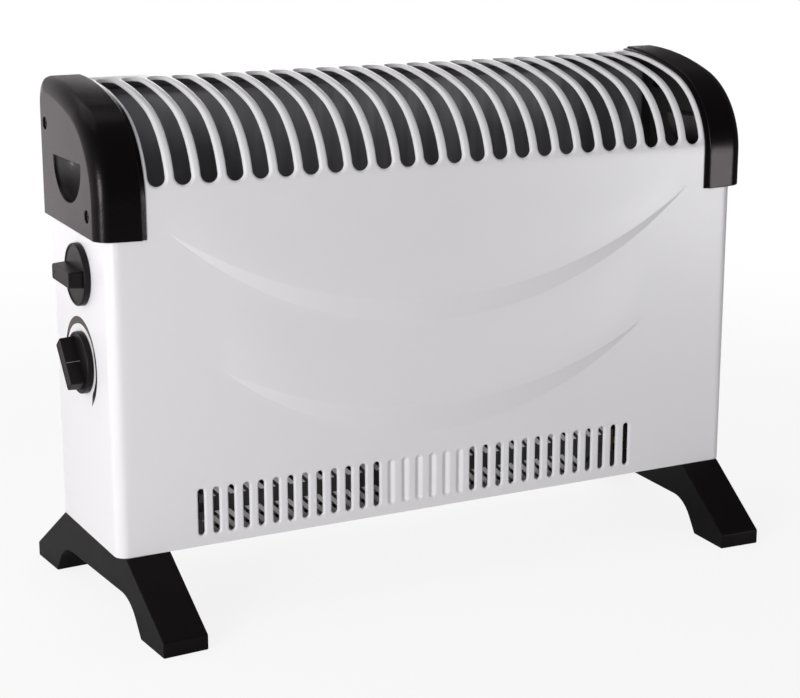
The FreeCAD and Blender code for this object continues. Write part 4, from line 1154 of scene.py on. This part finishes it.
class HEATER_OT_scale(bpy.types.Operator):
    """Prints the thermostat's scale on the side of the case"""

    bl_idname = "heater.scale"
    bl_label = "Printed scale"

    def execute(self, context):
        case, finish = context.scene.heater_case, context.scene.heater_finish
        _, y, z = JOINTS["thermostat_turn"]["pos_m"]
        y, z = y + 0.0056, z - 0.002  # the scale's middle, a little off the knob's
        outer, first, sweep, lift = 0.0332, 16, 218, 0.00006
        line, swell, head = 0.0027, 0.0026, 0.0022  # widths: thin line, crescent and arrow head
        peak, fade = 0.27, 0.05  # shares of the sweep: widest place of the crescent, faded ends
        piece = started("printed_scale", bpy.ops.mesh.primitive_grid_add, x_subdivisions=72,
                        y_subdivisions=2, size=1)
        for vert in piece.data.vertices:
            share, side = vert.co.x + 0.5, vert.co.y
            a = math.radians(first + sweep * share)
            crescent = swell * max(0.0, 1 - abs(share - peak) / peak) ** 0.7
            arrow = head * max(0.0, min((share - 0.80) / 0.12, (1 - share) / 0.08, 1))
            thin = line * min(1.0, (1 - share) / fade, share / fade)
            radius = outer - (thin + crescent + arrow) * (0.5 - side)
            vert.co = (-case.half_width - lift, y + radius * math.cos(a), z + radius * math.sin(a))
        merge(piece, 1e-7)
        if sum(face.normal.x for face in piece.data.polygons) > 0:
            piece.data.flip_normals()
        modify(piece, "SOLIDIFY", thickness=0.00005, offset=-1)
        dress(piece, "case", "white_paint", self.ink(finish, z))
        return {"FINISHED"}

    def ink(self, finish, z):
        """Printed ink, black in the middle and grey at the scale's wide ends."""
        material, shader, place = new_finish("printed_ink")
        rise = place.axis(2).ease(z + 0.012, z + 0.018)
        ends = rise + (1 - place.axis(2).ease(z - 0.024, z - 0.018))
        fine = place.noise(1400, 2)
        tone = ends.blend(rgba(finish.print_black), rgba(finish.print_grey))
        shade = (fine * 0.25).blend(rgba((0, 0, 0)), rgba((1, 1, 1)))
        mixed = tone.node("ShaderNodeMix", {"data_type": "RGBA", "blend_type": "OVERLAY"},
                          {0: 0.3, 6: tone, 7: shade}, 2)
        feed(shader, Base_Color=mixed, Roughness=0.45 + 0.1 * fine, Specular_IOR_Level=0.05)
        return material


# Inside

class HEATER_OT_ribbons(bpy.types.Operator):
    """Winds the heating ribbons above and below the mica board"""

    bl_idname = "heater.ribbons"
    bl_label = "Heating ribbons"

    def execute(self, context):
        sizes = context.scene.heater_fittings
        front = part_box("upper_ribbon")[0].y
        # The ribbon's legs behind the board are painted nearly black, as shade
        alloy = metal("ribbon_alloy", (0.97, 0.965, 0.955), 0.3, 500, spread=0.03, bare=0.08,
                      shade_behind=(front + 0.001, front + 0.0035))
        for node, outward in (("upper_ribbon", 1), ("lower_ribbon", -1)):
            low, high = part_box(node)
            piece = self.winding(node + "_winding", sizes, low, high, outward)
            smoothed(piece, 30)
            dress(piece, "case", "ribbon_alloy", alloy, node)
        return {"FINISHED"}

    def winding(self, name, sizes, low, high, outward):
        """One turn, slanting down the front of the board and back behind it, repeated along it."""
        inner, outer = (low.z, high.z) if outward > 0 else (high.z, low.z)
        run, wide = high.z - low.z, sizes.ribbon_width * math.sqrt(2)
        start = low.x - sizes.ribbon_pitch + (0 if outward > 0 else sizes.ribbon_lag)
        behind, thick = 0.006, 0.0003
        piece = started(name, bpy.ops.mesh.primitive_plane_add, size=1)
        for vert in piece.data.vertices:
            z = outer if vert.co.y > 0 else inner
            vert.co = (start + (wide if vert.co.x > 0 else 0) + (high.z - z), low.y, z)
        edit(piece)
        pick_edges(lambda p: abs(p.z - outer) < TINY)
        pull_edges(0, high.y - low.y + behind, 0)
        pull_edges(run, 0, inner - outer)
        face_out()
        object_mode()
        modify(piece, "SOLIDIFY", thickness=thick, offset=0)
        room = high.x - start - wide - (run if outward > 0 else 2 * run)
        repeated(piece, int(room / sizes.ribbon_pitch) + 1, sizes.ribbon_pitch)
        return piece


class HEATER_OT_inner(bpy.types.Operator):
    """Gives the element, sheets, controls and wiring their finishes"""

    bl_idname = "heater.inner"
    bl_label = "Inner parts"

    def execute(self, context):
        shield = context.scene.heater_finish.shield
        by_slot = {
            "zinc_steel": metal("zinc_plate", (0.60, 0.61, 0.62), 0.38, 90, spread=0.16),
            "screw_steel": metal("screw_plate", (0.44, 0.44, 0.45), 0.34, 800, spread=0.12),
            "shield_steel": dark_sheet("dark_shield", shield),
            "mica": board("mica_board", (0.07, 0.068, 0.068)),
            "white_ceramic": board("steatite", (0.62, 0.6, 0.56), 420),
            "brass": metal("brass_strip", (0.70, 0.52, 0.24), 0.3, 500, (0.2, 1, 1)),
            "bimetal": metal("bimetal_strip", (0.5, 0.47, 0.42), 0.33, 500, (1, 1, 0.1)),
            "silver": metal("contact_silver", (0.85, 0.84, 0.82), 0.2, 900, spread=0.05),
            "switch_plastic": moulded("switch_moulding", (0.09, 0.09, 0.095), 1300, 0.15, 0.5),
            "cutout_body": board("phenolic", (0.06, 0.04, 0.03), 500, 0.4),
        }
        for tint, tone in (("brown", (0.2, 0.09, 0.04)), ("red", (0.5, 0.07, 0.05)),
                           ("blue", (0.05, 0.13, 0.45)), ("green", (0.1, 0.36, 0.1))):
            by_slot[tint + "_insulation"] = moulded(tint + "_sleeve", tone, 1900, 0.1, 0.5)
        by_node = {
            # The bottom plate's zinc is painted near-black, as the shade under the element
            "bottom_plate": metal("shaded_zinc", (0.07, 0.07, 0.073), 0.5, 90, spread=0.2),
            "cap_screws": metal("black_screw", (0.035, 0.034, 0.034), 0.34, 800),
            "element_terminals": metal("nickel_clamp", (0.2, 0.195, 0.19), 0.4, 700),
            "wire_element": moulded("glass_sleeve", (0.1, 0.098, 0.095), 900, 0.3, 0.6),
        }
        for part in frame["record"]["subparts"]:
            finish = by_node.get(part["node"], by_slot.get(part["material_slot"]))
            if finish:
                paint(frame["nodes"][part["node"]], finish)
        return {"FINISHED"}


class HEATER_OT_stage(bpy.types.Operator):
    """Sets the floor, the soft light and the camera"""

    bl_idname = "heater.stage"
    bl_label = "Stage"

    def execute(self, context):
        scene = context.scene
        scene.view_settings.view_transform = "Standard"
        self.floor()
        self.room(scene)
        for name, place, target, wide, tall, power in (
                ("left_softbox", (-1.55, -1.05, 0.4), (-0.1, 0, 0.2), 0.36, 0.85, 21.4),
                ("right_softbox", (1.02, -1.09, 0.13), (0.25, 0, 0.2), 0.24, 0.24, 3.7),
                ("back_softbox", (0.8, 1.6, 0.7), (0, 0, 0.2), 0.8, 0.8, 6),
                ("top_softbox", (-0.3, 0.5, 1.8), (0, 0, 0.3), 1.2, 1.2, 3.5)):
            lamp = bpy.data.lights.new(name, "AREA")
            lamp.shape, lamp.size, lamp.size_y, lamp.energy = "RECTANGLE", wide, tall, power
            aim = (Vector(target) - Vector(place)).to_track_quat("-Z", "Y").to_euler()
            self.stand(scene, name, lamp, place, aim)
        lens = bpy.data.cameras.new("camera")
        lens.sensor_width, lens.lens = 36, 87.16
        down, aside = 14.08, -27.64
        scene.camera = self.stand(scene, "camera", lens, (-0.6686, -1.2638, 0.5182),
                                  (math.radians(90 - down), 0, math.radians(aside)))
        return {"FINISHED"}

    def stand(self, scene, name, data, place, turn):
        """Puts a lamp or the camera in its place."""
        holder = bpy.data.objects.new(name, data)
        scene.collection.objects.link(holder)
        holder.location, holder.rotation_euler = place, turn
        return holder

    def floor(self):
        """Pale floor, nearly white to the camera, that still takes the heater's shadow."""
        floor = started("floor", bpy.ops.mesh.primitive_circle_add, vertices=96, radius=1.35,
                        fill_type="NGON")
        settle(floor)
        material = bpy.data.materials.new("pale_floor")
        material.use_nodes = True
        tree = material.node_tree
        tree.nodes.remove(tree.nodes["Principled BSDF"])
        seen = found(tree, "ShaderNodeLightPath", "Is Camera Ray")
        place = found(tree, "ShaderNodeTexCoord", "Object")
        away = place.node("ShaderNodeVectorMath", {"operation": "LENGTH"}, {0: place},
                          "Value").ease(0.45, 1.3)
        grey = seen.blend((0.78, 0.78, 0.78, 1), (0.93, 0.93, 0.93, 1))
        matt = seen.node("ShaderNodeBsdfDiffuse", None, {"Color": grey})
        glow = seen.node("ShaderNodeEmission", None, {"Color": (1, 1, 1, 1), "Strength": 1.0})
        mixed = seen.node("ShaderNodeMixShader", None,
                          {0: seen * (0.86 + 0.14 * away), 1: matt, 2: glow})
        tree.links.new(mixed.socket, tree.nodes["Material Output"].inputs["Surface"])
        floor.data.materials.append(material)

    def room(self, scene):
        """Studio walls: white to the camera, dim to the heater, brighter at the left and behind."""
        scene.world = bpy.data.worlds.new("studio")
        scene.world.use_nodes = True
        tree = scene.world.node_tree
        way = found(tree, "ShaderNodeTexCoord", "Generated")
        left, behind, above = way.axis(0) * -1.0, way.axis(1), way.axis(2)
        glow = (left * 0.62 + behind * 0.78).ease(0.2, 0.95) * (1 - 0.6 * above.ease(0.1, 0.7))
        walls = 0.11 + 1.25 * glow + 0.28 * left.ease(0.0, 1.0) + 0.06 * above.ease(0.2, 1.0)
        seen = found(tree, "ShaderNodeLightPath", "Is Camera Ray")
        glossy = found(tree, "ShaderNodeLightPath", "Is Glossy Ray")
        feed(tree.nodes["Background"], Strength=walls * (1 - seen) + seen,
             Color=glossy.blend((1, 1, 1, 1), (1, 0.93, 0.945, 1)))


class HEATER_PT_panel(bpy.types.Panel):
    """Lists the heater's pieces and sizes."""

    bl_idname = "HEATER_PT_panel"
    bl_label = "Convector heater"
    bl_space_type = "VIEW_3D"
    bl_region_type = "UI"
    bl_category = "Heater"

    def draw(self, context):
        column = self.layout.column()
        for operator in OPERATORS:
            column.operator(operator.bl_idname)
        for group in GROUPS:
            values = getattr(context.scene, group)
            for key in values.__annotations__:
                column.prop(values, key)


GROUPS = {"heater_case": CaseSizes, "heater_fittings": FittingSizes, "heater_finish": Finishes}
OPERATORS = (HEATER_OT_case, HEATER_OT_caps, HEATER_OT_feet, HEATER_OT_knobs, HEATER_OT_scale,
             HEATER_OT_ribbons, HEATER_OT_inner, HEATER_OT_stage)
CLASSES = (*GROUPS.values(), *OPERATORS, HEATER_PT_panel)


def register():
    for cls in CLASSES:
        bpy.utils.register_class(cls)
    for name, group in GROUPS.items():
        setattr(bpy.types.Scene, name, PointerProperty(type=group))


def unregister():
    for name in GROUPS:
        delattr(bpy.types.Scene, name)
    for cls in reversed(CLASSES):
        bpy.utils.unregister_class(cls)


def main():
    register()
    bpy.ops.heater.case()
    bpy.ops.heater.caps()
    bpy.ops.heater.feet()
    bpy.ops.heater.knobs()
    bpy.ops.heater.scale()
    bpy.ops.heater.ribbons()
    bpy.ops.heater.inner()
    bpy.ops.heater.stage()


if __name__ == "__main__":
    main()
